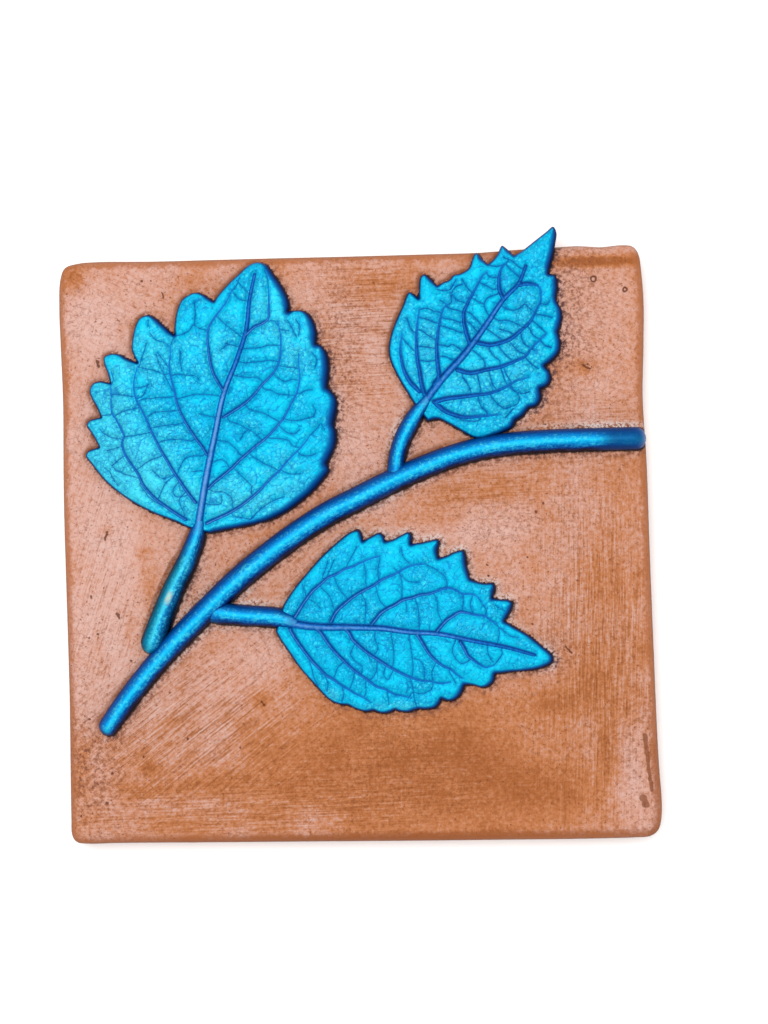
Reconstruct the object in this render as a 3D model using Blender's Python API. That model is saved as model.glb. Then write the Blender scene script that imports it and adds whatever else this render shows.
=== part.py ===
"""Square clay tile with a leafy sprig in relief, cast and fired as one piece.

Frame: origin at the centre of the flat back, +Z out of the decorated face,
+Y towards the edge that the upper leaf runs over. Lengths are metres; the
outlines below are in millimetres on the face and go through mm().
"""
import math

import bmesh
import bpy
from mathutils import Vector
from mathutils.geometry import intersect_point_line

MM = 0.001

TILE_THICKNESS = 0.0120      # back to plain face
ARRIS_RADIUS = 0.0032        # rounded edge all round the face
BACK_ARRIS = 0.0008          # small worn edge round the back
ARRIS_STEPS = 4
RIGHT_EDGE_AT_STEM = 0.0745  # where the right edge lies under the main stem

LEAF_ROOT = 0.0015           # how far a leaf's body reaches below the plain face
LEAF_RIM_SOFTNESS = 0.0006   # rounding along the leaf's upper rim
LEAF_RIM_STEPS = 2
CROWN_REACH = 0.0100         # distance from the rim over which a leaf swells
CROWN_GRID = 0.0055          # spacing of the points that carry the swell
LEVEL_NORMAL = 0.999         # upward part of a normal over which a face counts as level
LEVEL_SLACK = 0.000001

STEM_HEIGHT = 0.0046         # main stem over the plain face
STALK_HEIGHT = 0.0037        # leaf stalks over the plain face
STEM_ROOT = 0.0012           # how far stem and stalks reach below the plain face
STEM_SIDES = 16
STEM_POINTS = 2              # rings for each stretch between two of its points
RIB_PROUD = 0.0005           # how far a leaf's middle rib stands over the leaf
RIB_DEPTH = 0.0016           # how far its body reaches down from its crest
RIB_SIDES = 8
RIB_POINTS = 1
END_TURNS = (35, 62, 82)     # degrees round a strip's end at which it has a ring

# Corner by corner and bow by bow, anticlockwise from the lower left
SLAB_EDGE = [
    (-75.7, -69.0), (-75.4, -72.0), (-74.2, -73.7), (-71.5, -74.1), (-64.0, -74.1), (-40.0, -74.5),
    (-7.0, -75.0), (18.0, -75.5), (36.0, -76.0), (50.0, -76.2), (64.0, -76.5), (70.0, -76.4),
    (73.8, -76.1), (75.8, -74.5), (76.6, -71.5), (76.8, -68.0), (75.9, -56.0), (75.0, -22.0),
    (74.8, -3.0), (74.5, 21.0), (74.0, 37.0), (74.6, 50.0), (75.0, 62.0), (74.3, 70.0),
    (73.6, 73.4), (72.0, 75.3), (69.5, 75.9), (64.5, 75.6), (58.5, 76.1), (52.5, 75.9),
    (42.0, 75.5), (33.0, 75.0), (19.0, 74.9), (-3.0, 74.8), (-23.0, 74.9), (-52.0, 74.8),
    (-65.5, 75.0), (-70.5, 74.7), (-73.8, 73.6), (-74.7, 70.6), (-75.6, 63.0), (-75.2, 55.0),
    (-74.6, 39.0), (-75.2, 22.0), (-75.5, 8.0), (-75.1, -6.0), (-74.8, -37.0), (-74.9, -56.0),
]

# Each lobe runs clockwise from just past one notch to the next notch
LEFT_LEAF = [
    [(-43.5, 6.3), (-46.0, 7.6), (-48.5, 8.6), (-52.5, 10.3), (-57.0, 12.8), (-61.0, 15.6),
     (-64.3, 18.6), (-67.5, 22.7), (-69.2, 25.2), (-68.7, 26.3), (-67.3, 26.9), (-65.7, 27.3)],
    [(-66.8, 29.6), (-68.0, 31.6), (-68.8, 33.0), (-68.1, 34.2), (-66.5, 34.7), (-65.0, 35.0)],
    [(-66.2, 37.8), (-67.4, 40.0), (-67.8, 42.0), (-66.9, 43.7), (-65.0, 44.2), (-62.4, 43.6)],
    [(-63.0, 46.0), (-64.0, 49.0), (-63.9, 50.4), (-62.2, 51.2), (-60.0, 51.0), (-57.8, 49.8),
     (-55.4, 48.7)],
    [(-56.3, 50.6), (-56.8, 52.4), (-56.5, 55.2), (-55.7, 58.2), (-54.4, 60.3), (-52.3, 60.9),
     (-50.5, 60.0), (-48.0, 57.7), (-45.8, 55.6)],
    [(-45.6, 58.6), (-44.9, 62.0), (-43.7, 64.5), (-42.0, 65.8), (-40.2, 66.4), (-38.2, 65.9),
     (-35.5, 64.0)],
    [(-34.3, 65.6), (-31.5, 68.6), (-29.0, 70.8), (-26.3, 73.1), (-24.0, 73.8), (-21.8, 73.1),
     (-20.0, 70.6), (-17.8, 67.2), (-16.5, 64.4), (-16.1, 62.4), (-16.5, 61.0)],
    [(-14.8, 61.2), (-12.8, 61.1), (-11.0, 59.9), (-9.8, 57.7), (-9.3, 55.2), (-9.5, 52.6)],
    [(-8.2, 52.0), (-7.0, 50.4), (-6.4, 48.0), (-6.3, 45.0), (-6.9, 41.4)],
    [(-5.7, 40.1), (-4.6, 38.3), (-4.5, 36.0), (-4.9, 33.8), (-5.4, 31.8)],
    [(-4.9, 29.6), (-5.0, 27.2), (-5.8, 24.7), (-7.4, 21.8)],
    [(-6.9, 20.1), (-8.6, 17.6), (-11.0, 15.0), (-14.5, 12.1), (-18.0, 9.7), (-22.0, 7.8),
     (-26.0, 6.7), (-31.0, 5.8), (-35.0, 5.1), (-38.0, 4.6)],
]
UPPER_LEAF = [
    [(14.8, 37.4), (13.6, 39.5), (12.0, 42.2), (10.6, 45.0), (9.5, 47.7), (9.1, 50.0), (9.3, 52.6),
     (10.2, 55.8), (11.6, 59.0), (13.1, 62.2), (13.8, 64.0), (14.7, 65.2), (15.8, 64.7),
     (17.0, 63.5)],
    [(17.2, 66.0), (17.6, 68.9), (18.6, 69.7), (20.0, 68.7), (21.9, 66.7)],
    [(23.4, 67.5), (25.0, 68.1), (26.2, 69.3), (28.0, 69.7), (30.1, 71.0), (30.9, 73.0),
     (31.6, 74.5), (32.3, 74.9), (33.4, 73.5), (35.0, 71.9)],
    [(36.4, 73.0), (37.6, 74.5), (38.7, 76.6), (39.8, 75.9), (41.7, 74.0)],
    [(43.5, 74.9), (47.0, 77.5), (50.2, 79.9), (52.0, 81.2), (52.8, 79.6), (52.5, 77.0),
     (51.7, 73.5), (50.5, 69.2)],
    [(52.3, 68.5), (52.7, 65.8), (52.4, 62.4), (53.3, 60.4), (53.7, 58.4), (53.2, 55.8),
     (52.6, 54.2)],
    [(53.1, 51.6), (52.8, 49.2), (51.2, 47.2), (49.0, 45.5)],
    [(50.3, 43.7), (50.3, 41.5), (49.2, 40.2), (47.7, 39.6)],
    [(47.9, 37.2), (46.8, 35.4), (44.6, 34.7)],
    [(43.2, 32.9), (41.2, 31.6)],
    [(40.2, 29.8), (38.4, 28.9), (35.5, 27.8), (32.4, 27.1), (30.4, 27.5), (27.5, 29.1),
     (23.7, 31.4), (21.3, 32.4), (18.6, 32.0)],
]
LOWER_LEAF = [
    [(-19.6, -14.6), (-18.0, -12.0), (-16.0, -9.3), (-11.5, -4.2), (-9.0, -1.6), (-4.0, 2.6),
     (-1.8, 4.1), (0.2, 4.5), (1.0, 3.4), (1.3, 1.8)],
    [(3.0, 2.6), (5.5, 3.7), (6.6, 3.0), (7.0, 1.6)],
    [(8.7, 1.8), (11.0, 2.9), (13.0, 3.7), (13.8, 2.8), (13.6, 0.7)],
    [(16.0, 0.9), (18.5, 1.4), (20.5, 1.7), (20.9, 0.6), (20.4, -1.0), (20.5, -3.0)],
    [(22.2, -2.8), (24.7, -1.7), (26.8, -1.3), (27.5, -2.6), (27.7, -5.0), (28.6, -8.6)],
    [(30.2, -9.4), (32.3, -9.9), (34.3, -9.9), (34.9, -10.9), (34.2, -13.6)],
    [(36.0, -14.1), (38.3, -14.3), (39.3, -15.1), (38.7, -17.2), (37.2, -19.6)],
    [(39.5, -21.2), (43.0, -23.3), (46.5, -26.2), (49.3, -29.1), (49.0, -30.6), (46.8, -31.7),
     (43.0, -32.5), (38.0, -32.8), (34.4, -33.2)],
    [(34.0, -35.0), (32.7, -36.2), (31.0, -36.6), (28.5, -35.9), (26.5, -35.9)],
    [(25.7, -37.9), (24.4, -39.3), (22.6, -39.8), (20.5, -39.3)],
    [(20.0, -40.4), (19.0, -41.4), (16.5, -41.8), (14.4, -41.7)],
    [(12.0, -42.4), (9.8, -42.2), (8.5, -41.8)],
    [(6.8, -42.5), (5.0, -42.5), (3.0, -41.8)],
    [(1.2, -42.1), (-1.5, -41.3), (-3.4, -40.3)],
    [(-6.2, -39.9), (-8.5, -38.6), (-11.5, -35.3), (-15.5, -30.6), (-18.2, -26.5), (-20.5, -23.0),
     (-21.6, -20.9)],
]

# Centre lines with the half width at each point; the round ends reach half a width further
MAIN_STEM = [
    (-65.0, -44.2, 2.5), (-61.4, -39.2, 2.65), (-56.2, -32.7, 2.75), (-50.2, -25.9, 2.85),
    (-43.6, -19.2, 2.95), (-37.0, -12.9, 3.05), (-30.5, -7.0, 3.1), (-23.9, -1.8, 3.1),
    (-16.9, 3.2, 3.1), (-8.0, 8.7, 3.1), (0.0, 12.6, 3.05), (7.5, 16.2, 3.0), (15.4, 19.6, 2.95),
    (23.9, 22.7, 2.9), (32.7, 24.9, 2.9), (41.2, 25.9, 2.9), (50.0, 26.3, 2.9), (58.4, 26.4, 2.9),
    (65.5, 26.4, 2.9), (72.0, 26.4, 2.9),
]
LEFT_STALK = [
    (-54.3, -23.7, 2.2), (-52.8, -20.0, 2.3), (-50.7, -15.4, 2.4), (-47.6, -9.2, 2.45),
    (-43.7, -2.2, 2.4), (-40.9, 5.0, 2.2), (-40.2, 10.0, 1.7),
]
UPPER_STALK = [
    (9.9, 17.5, 2.2), (10.7, 23.5, 2.2), (12.3, 28.2, 2.2), (14.6, 32.2, 2.2), (17.3, 36.0, 2.0),
    (20.0, 39.0, 1.5),
]
LOWER_STALK = [
    (-38.0, -15.0, 2.2), (-31.5, -16.5, 2.25), (-25.0, -17.4, 2.25), (-20.0, -18.3, 2.2),
    (-15.5, -19.2, 1.6),
]

# Middle rib of each leaf: its centre line with the half width, from stalk to tip
LEFT_RIB = [
    (-41.0, 5.5, 1.1), (-39.6, 13.0, 1.0), (-38.0, 21.0, 0.95), (-35.9, 30.0, 0.85),
    (-33.5, 40.0, 0.75), (-29.8, 49.0, 0.65), (-27.3, 56.5, 0.6), (-26.3, 64.0, 0.5),
    (-24.8, 70.5, 0.4),
]
UPPER_RIB = [
    (17.5, 36.3, 1.1), (22.5, 42.5, 1.0), (28.0, 48.3, 0.9), (34.0, 56.0, 0.75), (38.5, 62.3, 0.6),
    (42.6, 66.5, 0.5), (44.6, 71.0, 0.4),
]
LOWER_RIB = [
    (-18.0, -19.0, 1.1), (-12.0, -20.0, 1.0), (-3.0, -20.4, 0.85), (5.0, -20.8, 0.75),
    (13.0, -22.0, 0.65), (20.0, -22.6, 0.55), (28.0, -24.4, 0.5), (38.0, -26.6, 0.45),
    (44.5, -28.6, 0.35),
]

# Outline, middle rib, rim height over the plain face, extra swell at the middle
LEAVES = {
    "left": (LEFT_LEAF, LEFT_RIB, 0.0024, 0.0009),
    "upper": (UPPER_LEAF, UPPER_RIB, 0.0022, 0.0008),
    "lower": (LOWER_LEAF, LOWER_RIB, 0.0022, 0.0009),
}
STALKS = {"left": LEFT_STALK, "upper": UPPER_STALK, "lower": LOWER_STALK}

CLAY = (0.60, 0.28, 0.16)


def mm(value):
    return value * MM


def clear_scene():
    for item in list(bpy.data.objects):
        bpy.data.objects.remove(item, do_unlink=True)


def clay_material():
    clay = bpy.data.materials.new("painted_clay")
    clay.use_nodes = True
    shader = clay.node_tree.nodes["Principled BSDF"]
    shader.inputs["Base Color"].default_value = (*CLAY, 1.0)
    shader.inputs["Roughness"].default_value = 0.7
    shader.inputs["Metallic"].default_value = 0.0
    return clay


def object_from(bm, name):
    mesh = bpy.data.meshes.new(name)
    bm.to_mesh(mesh)
    bm.free()
    item = bpy.data.objects.new(name, mesh)
    bpy.context.collection.objects.link(item)
    return item


def flat_body(outline, bottom, top):
    """A straight-sided body on an outline, with its upper face returned for shaping."""
    bm = bmesh.new()
    floor = bm.faces.new([bm.verts.new((mm(x), mm(y), bottom)) for x, y in outline])
    raised = bmesh.ops.extrude_face_region(bm, geom=[floor], use_keep_orig=True)["geom"]
    lid = next(part for part in raised if isinstance(part, bmesh.types.BMFace))
    bmesh.ops.translate(bm, verts=lid.verts, vec=(0.0, 0.0, top - bottom))
    bmesh.ops.recalc_face_normals(bm, faces=bm.faces)
    return bm, lid


def skin(bm, rings):
    """Walls from ring to ring, with both ends closed."""
    for one, two in zip(rings, rings[1:]):
        loops = [edge for edge in bm.edges if set(edge.verts) <= one or set(edge.verts) <= two]
        bmesh.ops.bridge_loops(bm, edges=loops)
    for ring in (rings[0], rings[-1]):
        bmesh.ops.contextual_create(bm, geom=list(ring))
    bmesh.ops.recalc_face_normals(bm, faces=bm.faces)


def slab():
    """The plain tile: its outline drawn in a little at the back and rounded over at the face."""
    profile = [(BACK_ARRIS, 0.0), (0.0, BACK_ARRIS)]
    for step in range(ARRIS_STEPS + 1):
        turn = 0.5 * math.pi * step / ARRIS_STEPS
        profile.append((ARRIS_RADIUS * (1.0 - math.cos(turn)),
                        TILE_THICKNESS - ARRIS_RADIUS * (1.0 - math.sin(turn))))
    half_side = mm(max(x for x, _ in SLAB_EDGE))
    bm = bmesh.new()
    rings = []
    for inset, level in profile:
        drawn_in = 1.0 - inset / half_side
        corners = [bm.verts.new((mm(x) * drawn_in, mm(y) * drawn_in, level)) for x, y in SLAB_EDGE]
        for one, two in zip(corners, corners[1:] + corners[:1]):
            bm.edges.new((one, two))
        rings.append(set(corners))
    skin(bm, rings)
    return object_from(bm, "relief_tile")


def rim_distance(point, ring):
    """Distance on the face from a point to a closed outline."""
    nearest = math.inf
    for start, end in zip(ring, ring[1:] + ring[:1]):
        foot, along = intersect_point_line(point, start, end)
        foot = start if along < 0.0 else end if along > 1.0 else foot
        nearest = min(nearest, (point - foot).length)
    return nearest


def leaf_level(lobes, rim_height, swell):
    """The height of a leaf's upper side at a place on the face."""
    ring = [Vector((mm(x), mm(y), 0.0)) for lobe in lobes for x, y in lobe]

    def level(place):
        inside = min(rim_distance(place, ring) / CROWN_REACH, 1.0)
        return TILE_THICKNESS + rim_height + swell * inside * (2.0 - inside)
    return level


def score(bm, normal, low, high):
    """Cuts the level top into strips, so that it has points to carry the swell."""
    for step in range(1, int((high - low) / CROWN_GRID)):
        tops = [face for face in bm.faces if face.normal.z > LEVEL_NORMAL]
        parts = set(tops)
        for face in tops:
            parts.update(face.edges)
            parts.update(face.verts)
        bmesh.ops.bisect_plane(bm, geom=list(parts), plane_no=normal,
                               plane_co=normal * (low + step * CROWN_GRID))


def leaf(name, lobes, rim_height, swell):
    outline = [point for lobe in lobes for point in lobe]
    rim_level = TILE_THICKNESS + rim_height
    bm, lid = flat_body(outline, TILE_THICKNESS - LEAF_ROOT, rim_level)
    bmesh.ops.bevel(bm, geom=list(lid.edges), affect="EDGES", offset=LEAF_RIM_SOFTNESS,
                    segments=LEAF_RIM_STEPS, profile=0.5, clamp_overlap=True, material=-1)
    for axis, normal in enumerate((Vector((1.0, 0.0, 0.0)), Vector((0.0, 1.0, 0.0)))):
        across = [mm(point[axis]) for point in outline]
        score(bm, normal, min(across), max(across))
    level = leaf_level(lobes, rim_height, swell)
    for vert in bm.verts:
        if vert.co.z > rim_level - LEVEL_SLACK:
            vert.co.z = level(Vector((vert.co.x, vert.co.y, 0.0)))
    return object_from(bm, name)


def smooth_line(points, per_stretch):
    """Points on a Catmull-Rom curve through the given ones; each value is carried along."""
    ends = [tuple(2 * a - b for a, b in zip(points[0], points[1]))]
    ends += list(points)
    ends.append(tuple(2 * a - b for a, b in zip(points[-1], points[-2])))
    line = []
    for first, start, stop, last in zip(ends, ends[1:], ends[2:], ends[3:]):
        for step in range(per_stretch):
            t = step / per_stretch
            line.append([
                0.5 * (2 * b + (c - a) * t + (2 * a - 5 * b + 4 * c - d) * t ** 2
                       + (3 * b - a - 3 * c + d) * t ** 3)
                for a, b, c, d in zip(first, start, stop, last)])
    line.append(list(points[-1]))
    return line


def stations_along(points, per_stretch):
    """Places along a strip with its direction, half width and size, round ends included."""
    line = smooth_line(points, per_stretch)
    stations = []
    for index, (x, y, half_width) in enumerate(line):
        before = line[max(index - 1, 0)]
        after = line[min(index + 1, len(line) - 1)]
        along = Vector((after[0] - before[0], after[1] - before[1], 0.0)).normalized()
        stations.append((Vector((mm(x), mm(y), 0.0)), along, mm(half_width), 1.0))
    first, last = stations[0], stations[-1]
    for turn in END_TURNS:
        reach, size = math.sin(math.radians(turn)), math.cos(math.radians(turn))
        stations.insert(0, (first[0] - first[1] * first[2] * reach, first[1], first[2], size))
        stations.append((last[0] + last[1] * last[2] * reach, last[1], last[2], size))
    return stations


def half_round(name, stations, height, root, sides, foot_level):
    """A half-round strip through its stations, standing on foot_level and sunk under it."""
    bm = bmesh.new()
    rings = []
    for place, along, half_width, size in stations:
        across = Vector((-along.y, along.x, 0.0))
        ring = bmesh.ops.create_circle(bm, cap_ends=False, segments=sides, radius=1.0)["verts"]
        for vert in ring:
            side, up = vert.co.x, vert.co.y
            vert.co = place + across * side * half_width * size
            vert.co.z = foot_level(place) + (height * size * up if up > 0.0 else root * up)
        rings.append(set(ring))
    skin(bm, rings)
    return object_from(bm, name)


def face_level(place):
    """The plain face, which falls away over the right-hand arris."""
    beyond = place.x - (RIGHT_EDGE_AT_STEM - ARRIS_RADIUS)
    if beyond <= 0.0:
        return TILE_THICKNESS
    beyond = min(beyond, ARRIS_RADIUS)
    return TILE_THICKNESS - ARRIS_RADIUS + math.sqrt(ARRIS_RADIUS ** 2 - beyond ** 2)


def fuse(body, added):
    """Joins a form to the body for good and keeps it only as a guide."""
    union = body.modifiers.new(added.name, "BOOLEAN")
    union.operation = "UNION"
    union.solver = "EXACT"
    union.object = added
    added.hide_render = True
    added.display_type = "WIRE"


def build():
    clear_scene()
    tile = slab()
    tile.data.materials.append(clay_material())
    for name, (lobes, _, rim_height, swell) in LEAVES.items():
        fuse(tile, leaf(name + "_leaf", lobes, rim_height, swell))
    fuse(tile, half_round("main_stem", stations_along(MAIN_STEM, STEM_POINTS),
                          STEM_HEIGHT, STEM_ROOT, STEM_SIDES, face_level))
    for name, line in STALKS.items():
        fuse(tile, half_round(name + "_stalk", stations_along(line, STEM_POINTS),
                              STALK_HEIGHT, STEM_ROOT, STEM_SIDES, face_level))
    for name, (lobes, line, rim_height, swell) in LEAVES.items():
        sunk = rim_height + RIB_PROUD - RIB_DEPTH
        fuse(tile, half_round(name + "_rib", stations_along(line, RIB_POINTS),
                              RIB_DEPTH, RIB_PROUD, RIB_SIDES, leaf_level(lobes, sunk, swell)))


build()
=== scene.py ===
"""Looks of a square clay tile with a painted leafy sprig in relief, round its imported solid.

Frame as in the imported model: origin at the centre of the flat back, +Z out of the
decorated face. Outlines and centre lines are in millimetres on the face. Veins and
marks on the clay are in points of the photograph, and on_face() puts them on the tile.
"""

import math

import bmesh
import bpy
import numpy as np
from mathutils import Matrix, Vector, noise
from mathutils.kdtree import KDTree


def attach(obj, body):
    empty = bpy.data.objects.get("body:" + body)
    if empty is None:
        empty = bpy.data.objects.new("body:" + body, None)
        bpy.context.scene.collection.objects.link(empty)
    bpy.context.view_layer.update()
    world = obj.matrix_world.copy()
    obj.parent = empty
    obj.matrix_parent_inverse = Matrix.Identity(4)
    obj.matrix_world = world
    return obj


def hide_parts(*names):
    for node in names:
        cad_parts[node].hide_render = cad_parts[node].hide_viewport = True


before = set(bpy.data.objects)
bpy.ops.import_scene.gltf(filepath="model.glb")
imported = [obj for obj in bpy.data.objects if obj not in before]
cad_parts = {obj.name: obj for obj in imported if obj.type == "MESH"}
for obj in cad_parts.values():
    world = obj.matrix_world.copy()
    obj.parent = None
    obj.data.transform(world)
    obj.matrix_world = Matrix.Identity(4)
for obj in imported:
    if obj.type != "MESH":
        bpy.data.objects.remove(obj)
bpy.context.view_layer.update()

MM = 0.001

# How the photograph sits over the tile
PICTURE_SIZE = (768, 1024)
PICTURE_TILE_CENTRE = (358.0, 547.75)   # point of the photograph over the tile's middle
PICTURE_POINT = 0.2568                  # millimetres of tile to one of its points
PICTURE_TURN = math.radians(1.35)
CAMERA_HEIGHT = 0.75                    # over the plain face
CAMERA_SENSOR = 36.0

# The clay body, in metres as in the solid
TILE_THICKNESS = 0.0120
ARRIS_RADIUS = 0.0032
BACK_ARRIS = 0.0008
ARRIS_STEPS = 10
RIGHT_EDGE_AT_STEM = 0.0745
TILE_GRAIN = 0.00060                    # size of the small faces that carry its unevenness

# Leaves, in millimetres
LEAF_FOOT = 10.5                        # level of a leaf's underside
FACE = 12.0                             # level of the plain face
LEAF_BLANK_TOP = 14.6
LEAF_GRAIN = 0.215                      # size of the small faces that carry its relief
OUTLINE_STEP = 0.12
VEIN_STEP = 0.1
SWELL_REACH = 10.0
RIM_SOFT_LEFT = 0.65                    # rounding of a leaf's rim on the side to the light
RIM_SOFT_RIGHT = 1.95                   # and how much wider it gets on the far side
RIM_BLEND = 12                          # steps of the outline over which that width changes
RIM_WALL = 0.9                          # straight part of the rim's wall
RIM_CALM = 1.6                          # veins and pillows die away over this width at the rim
FAR_SIDE = (0.95, -0.30)
SHADED_SIDE = (0.45, 0.89)              # the side of a vein on which its painted shade lies wider
SHADE_BLEND = 0.25                      # how far from its middle a vein's side is fully shaded
TWIG_GAP = 3.2                          # how far a fine vein reaches for the next stouter one
TOUCHING = 0.3                          # gap at which it already meets the stouter one
FAR_OFF = 99.0
PILLOW_RISE = 0.36
PILLOW_REACH = 1.2
RIB_RISE = 0.62                         # to one half width of the rib
RIB_VALLEY = 0.45
SIDE_RISE = 0.5
SIDE_VALLEY = 0.55
SIDE_TAPER = 0.7                        # share of its size that a side vein loses on its way
FINE_VALLEY = 0.9                       # to one half width of a fine vein
NET_CELLS = 0.55                        # cells of the finest net to a millimetre
NET_LINE = 0.11
LUMPS = 0.07                            # height of a leaf's lumps and depth of its finest net

# Clay face, in millimetres
SPRIG_STEP = 0.4
FRONT_FOOT = 8.2                        # over this level the wash begins
FRONT_BLEND = 0.8
SPRIG_MARKS_FOOT = 9.5                  # under this level the sprig leaves no marks: no grime and no painted shade
NO_SPRIG = 20.0
ROLLS_FOOT = 8.0
ROLLS_BLEND = 3.0
ROLLS_HEIGHT = 0.12
CLAY_ROLLS = [(0.05, 1.7, 1.0), (0.16, 5.1, 0.45), (0.5, 9.3, 0.2)]  # to a millimetre, seed, share
FOOT_SHADE = (0.86, -0.5)               # the side of the sprig away from the light, where its painted shadow lies and grime has gathered
PIT_SHIFT = 0.9                         # how far the rim of a pit wanders

STUDIO_LIGHT = 1.6                      # how much the stage brightens a matt surface
FLOOR_GAP = 0.2                         # millimetres that keep the floor clear of the flat back

STEM_HEIGHT = 0.0045
STALK_HEIGHT = 0.0037
STEM_ROOT = 0.0012
STEM_SIDES = 48
STEM_SPACING = 0.5                      # millimetres from ring to ring
STEM_DENTS = 0.05                       # millimetres
STEM_FULLNESS = 0.85                    # 1 for a round section, less for a fuller one
END_TURNS = (12, 24, 36, 48, 60, 72, 83)

SLAB_EDGE = [
    (-75.6, -69.0), (-75.5, -72.4), (-74.4, -74.2), (-71.5, -74.7), (-64.0, -74.7), (-40.0, -75.1),
    (-7.0, -75.6), (18.0, -76.0), (36.0, -76.2), (50.0, -76.4), (64.0, -76.45), (70.0, -76.4),
    (73.8, -76.1), (75.8, -74.5), (76.6, -71.5), (76.8, -68.0), (76.2, -56.0), (75.5, -22.0),
    (75.2, -3.0), (74.9, 21.0), (74.3, 37.0), (74.8, 50.0), (75.1, 62.0), (74.6, 70.4),
    (74.1, 73.9), (72.8, 75.9), (70.0, 76.4), (64.5, 76.0), (58.5, 76.4), (52.5, 76.2),
    (42.0, 75.8), (33.0, 75.3), (19.0, 75.2), (-3.0, 75.1), (-23.0, 75.1), (-52.0, 75.0),
    (-65.5, 75.2), (-70.5, 74.9), (-74.0, 73.8), (-75.2, 70.6), (-75.6, 63.0), (-75.5, 55.0),
    (-75.2, 39.0), (-75.5, 22.0), (-75.6, 8.0), (-75.5, -6.0), (-75.3, -37.0), (-75.5, -56.0),
]

# Each lobe runs clockwise from just past one notch to the next notch
LEFT_LEAF = [
    [(-43.5, 6.3), (-46.0, 7.6), (-48.5, 8.6), (-52.5, 10.3), (-57.0, 12.8), (-61.0, 15.6),
     (-64.3, 18.6), (-67.5, 22.7), (-69.2, 25.2), (-68.7, 26.3), (-67.3, 26.9), (-65.7, 27.3)],
    [(-66.8, 29.6), (-68.0, 31.6), (-68.8, 33.0), (-68.1, 34.2), (-66.5, 34.7), (-65.0, 35.0)],
    [(-66.2, 37.8), (-67.4, 40.0), (-67.8, 42.0), (-66.9, 43.7), (-65.0, 44.2), (-62.4, 43.6)],
    [(-63.0, 46.0), (-64.0, 49.0), (-63.9, 50.4), (-62.2, 51.2), (-60.0, 51.0), (-57.8, 49.8),
     (-55.4, 48.7)],
    [(-56.3, 50.6), (-56.8, 52.4), (-56.5, 55.2), (-55.7, 58.2), (-54.4, 60.3), (-52.3, 60.9),
     (-50.5, 60.0), (-48.0, 57.7), (-45.8, 55.6)],
    [(-45.6, 58.6), (-44.9, 62.0), (-43.7, 64.5), (-42.0, 65.8), (-40.2, 66.4), (-38.2, 65.9),
     (-35.5, 64.0)],
    [(-34.3, 65.6), (-31.5, 68.6), (-29.0, 70.8), (-26.3, 73.1), (-24.0, 73.8), (-21.8, 73.1),
     (-20.0, 70.6), (-17.8, 67.2), (-16.5, 64.4), (-16.1, 62.4), (-16.5, 61.0)],
    [(-14.8, 61.2), (-12.8, 61.1), (-11.0, 59.9), (-9.8, 57.7), (-9.3, 55.2), (-9.5, 52.6)],
    [(-8.2, 52.0), (-7.0, 50.4), (-6.4, 48.0), (-6.3, 45.0), (-6.9, 41.4)],
    [(-5.7, 40.1), (-4.6, 38.3), (-4.5, 36.0), (-4.9, 33.8), (-5.4, 31.8)],
    [(-4.9, 29.6), (-5.0, 27.2), (-5.8, 24.7), (-7.4, 21.8)],
    [(-6.9, 20.1), (-8.6, 17.6), (-11.0, 15.0), (-14.5, 12.1), (-18.0, 9.7), (-22.0, 7.8),
     (-26.0, 6.7), (-31.0, 5.8), (-35.0, 5.1), (-38.0, 4.6)],
]
UPPER_LEAF = [
    [(14.8, 37.4), (13.6, 39.5), (12.0, 42.2), (10.6, 45.0), (9.5, 47.7), (9.1, 50.0), (9.3, 52.6),
     (10.2, 55.8), (11.6, 59.0), (13.1, 62.2), (13.8, 64.0), (14.7, 65.2), (15.8, 64.7),
     (17.0, 63.5)],
    [(17.2, 66.0), (17.6, 68.9), (18.6, 69.7), (20.0, 68.7), (21.9, 66.7)],
    [(23.4, 67.5), (25.0, 68.1), (26.2, 69.3), (28.0, 69.7), (30.1, 71.0), (30.9, 73.0),
     (31.6, 74.5), (32.3, 74.9), (33.4, 73.5), (35.0, 71.9)],
    [(36.4, 73.0), (37.6, 74.5), (38.7, 76.6), (39.8, 75.9), (41.7, 74.0)],
    [(43.5, 74.9), (47.0, 77.5), (50.2, 79.9), (52.0, 81.2), (52.8, 79.6), (52.5, 77.0),
     (51.7, 73.5), (50.5, 69.2)],
    [(52.3, 68.5), (52.7, 65.8), (52.4, 62.4), (53.3, 60.4), (53.7, 58.4), (53.2, 55.8),
     (52.6, 54.2)],
    [(53.1, 51.6), (52.8, 49.2), (51.2, 47.2), (49.0, 45.5)],
    [(50.3, 43.7), (50.3, 41.5), (49.2, 40.2), (47.7, 39.6)],
    [(47.9, 37.2), (46.8, 35.4), (44.6, 34.7)],
    [(43.2, 32.9), (41.2, 31.6)],
    [(40.2, 29.8), (38.4, 28.9), (35.5, 27.8), (32.4, 27.1), (30.4, 27.5), (27.5, 29.1),
     (23.7, 31.4), (21.3, 32.4), (18.6, 32.0)],
]
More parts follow.
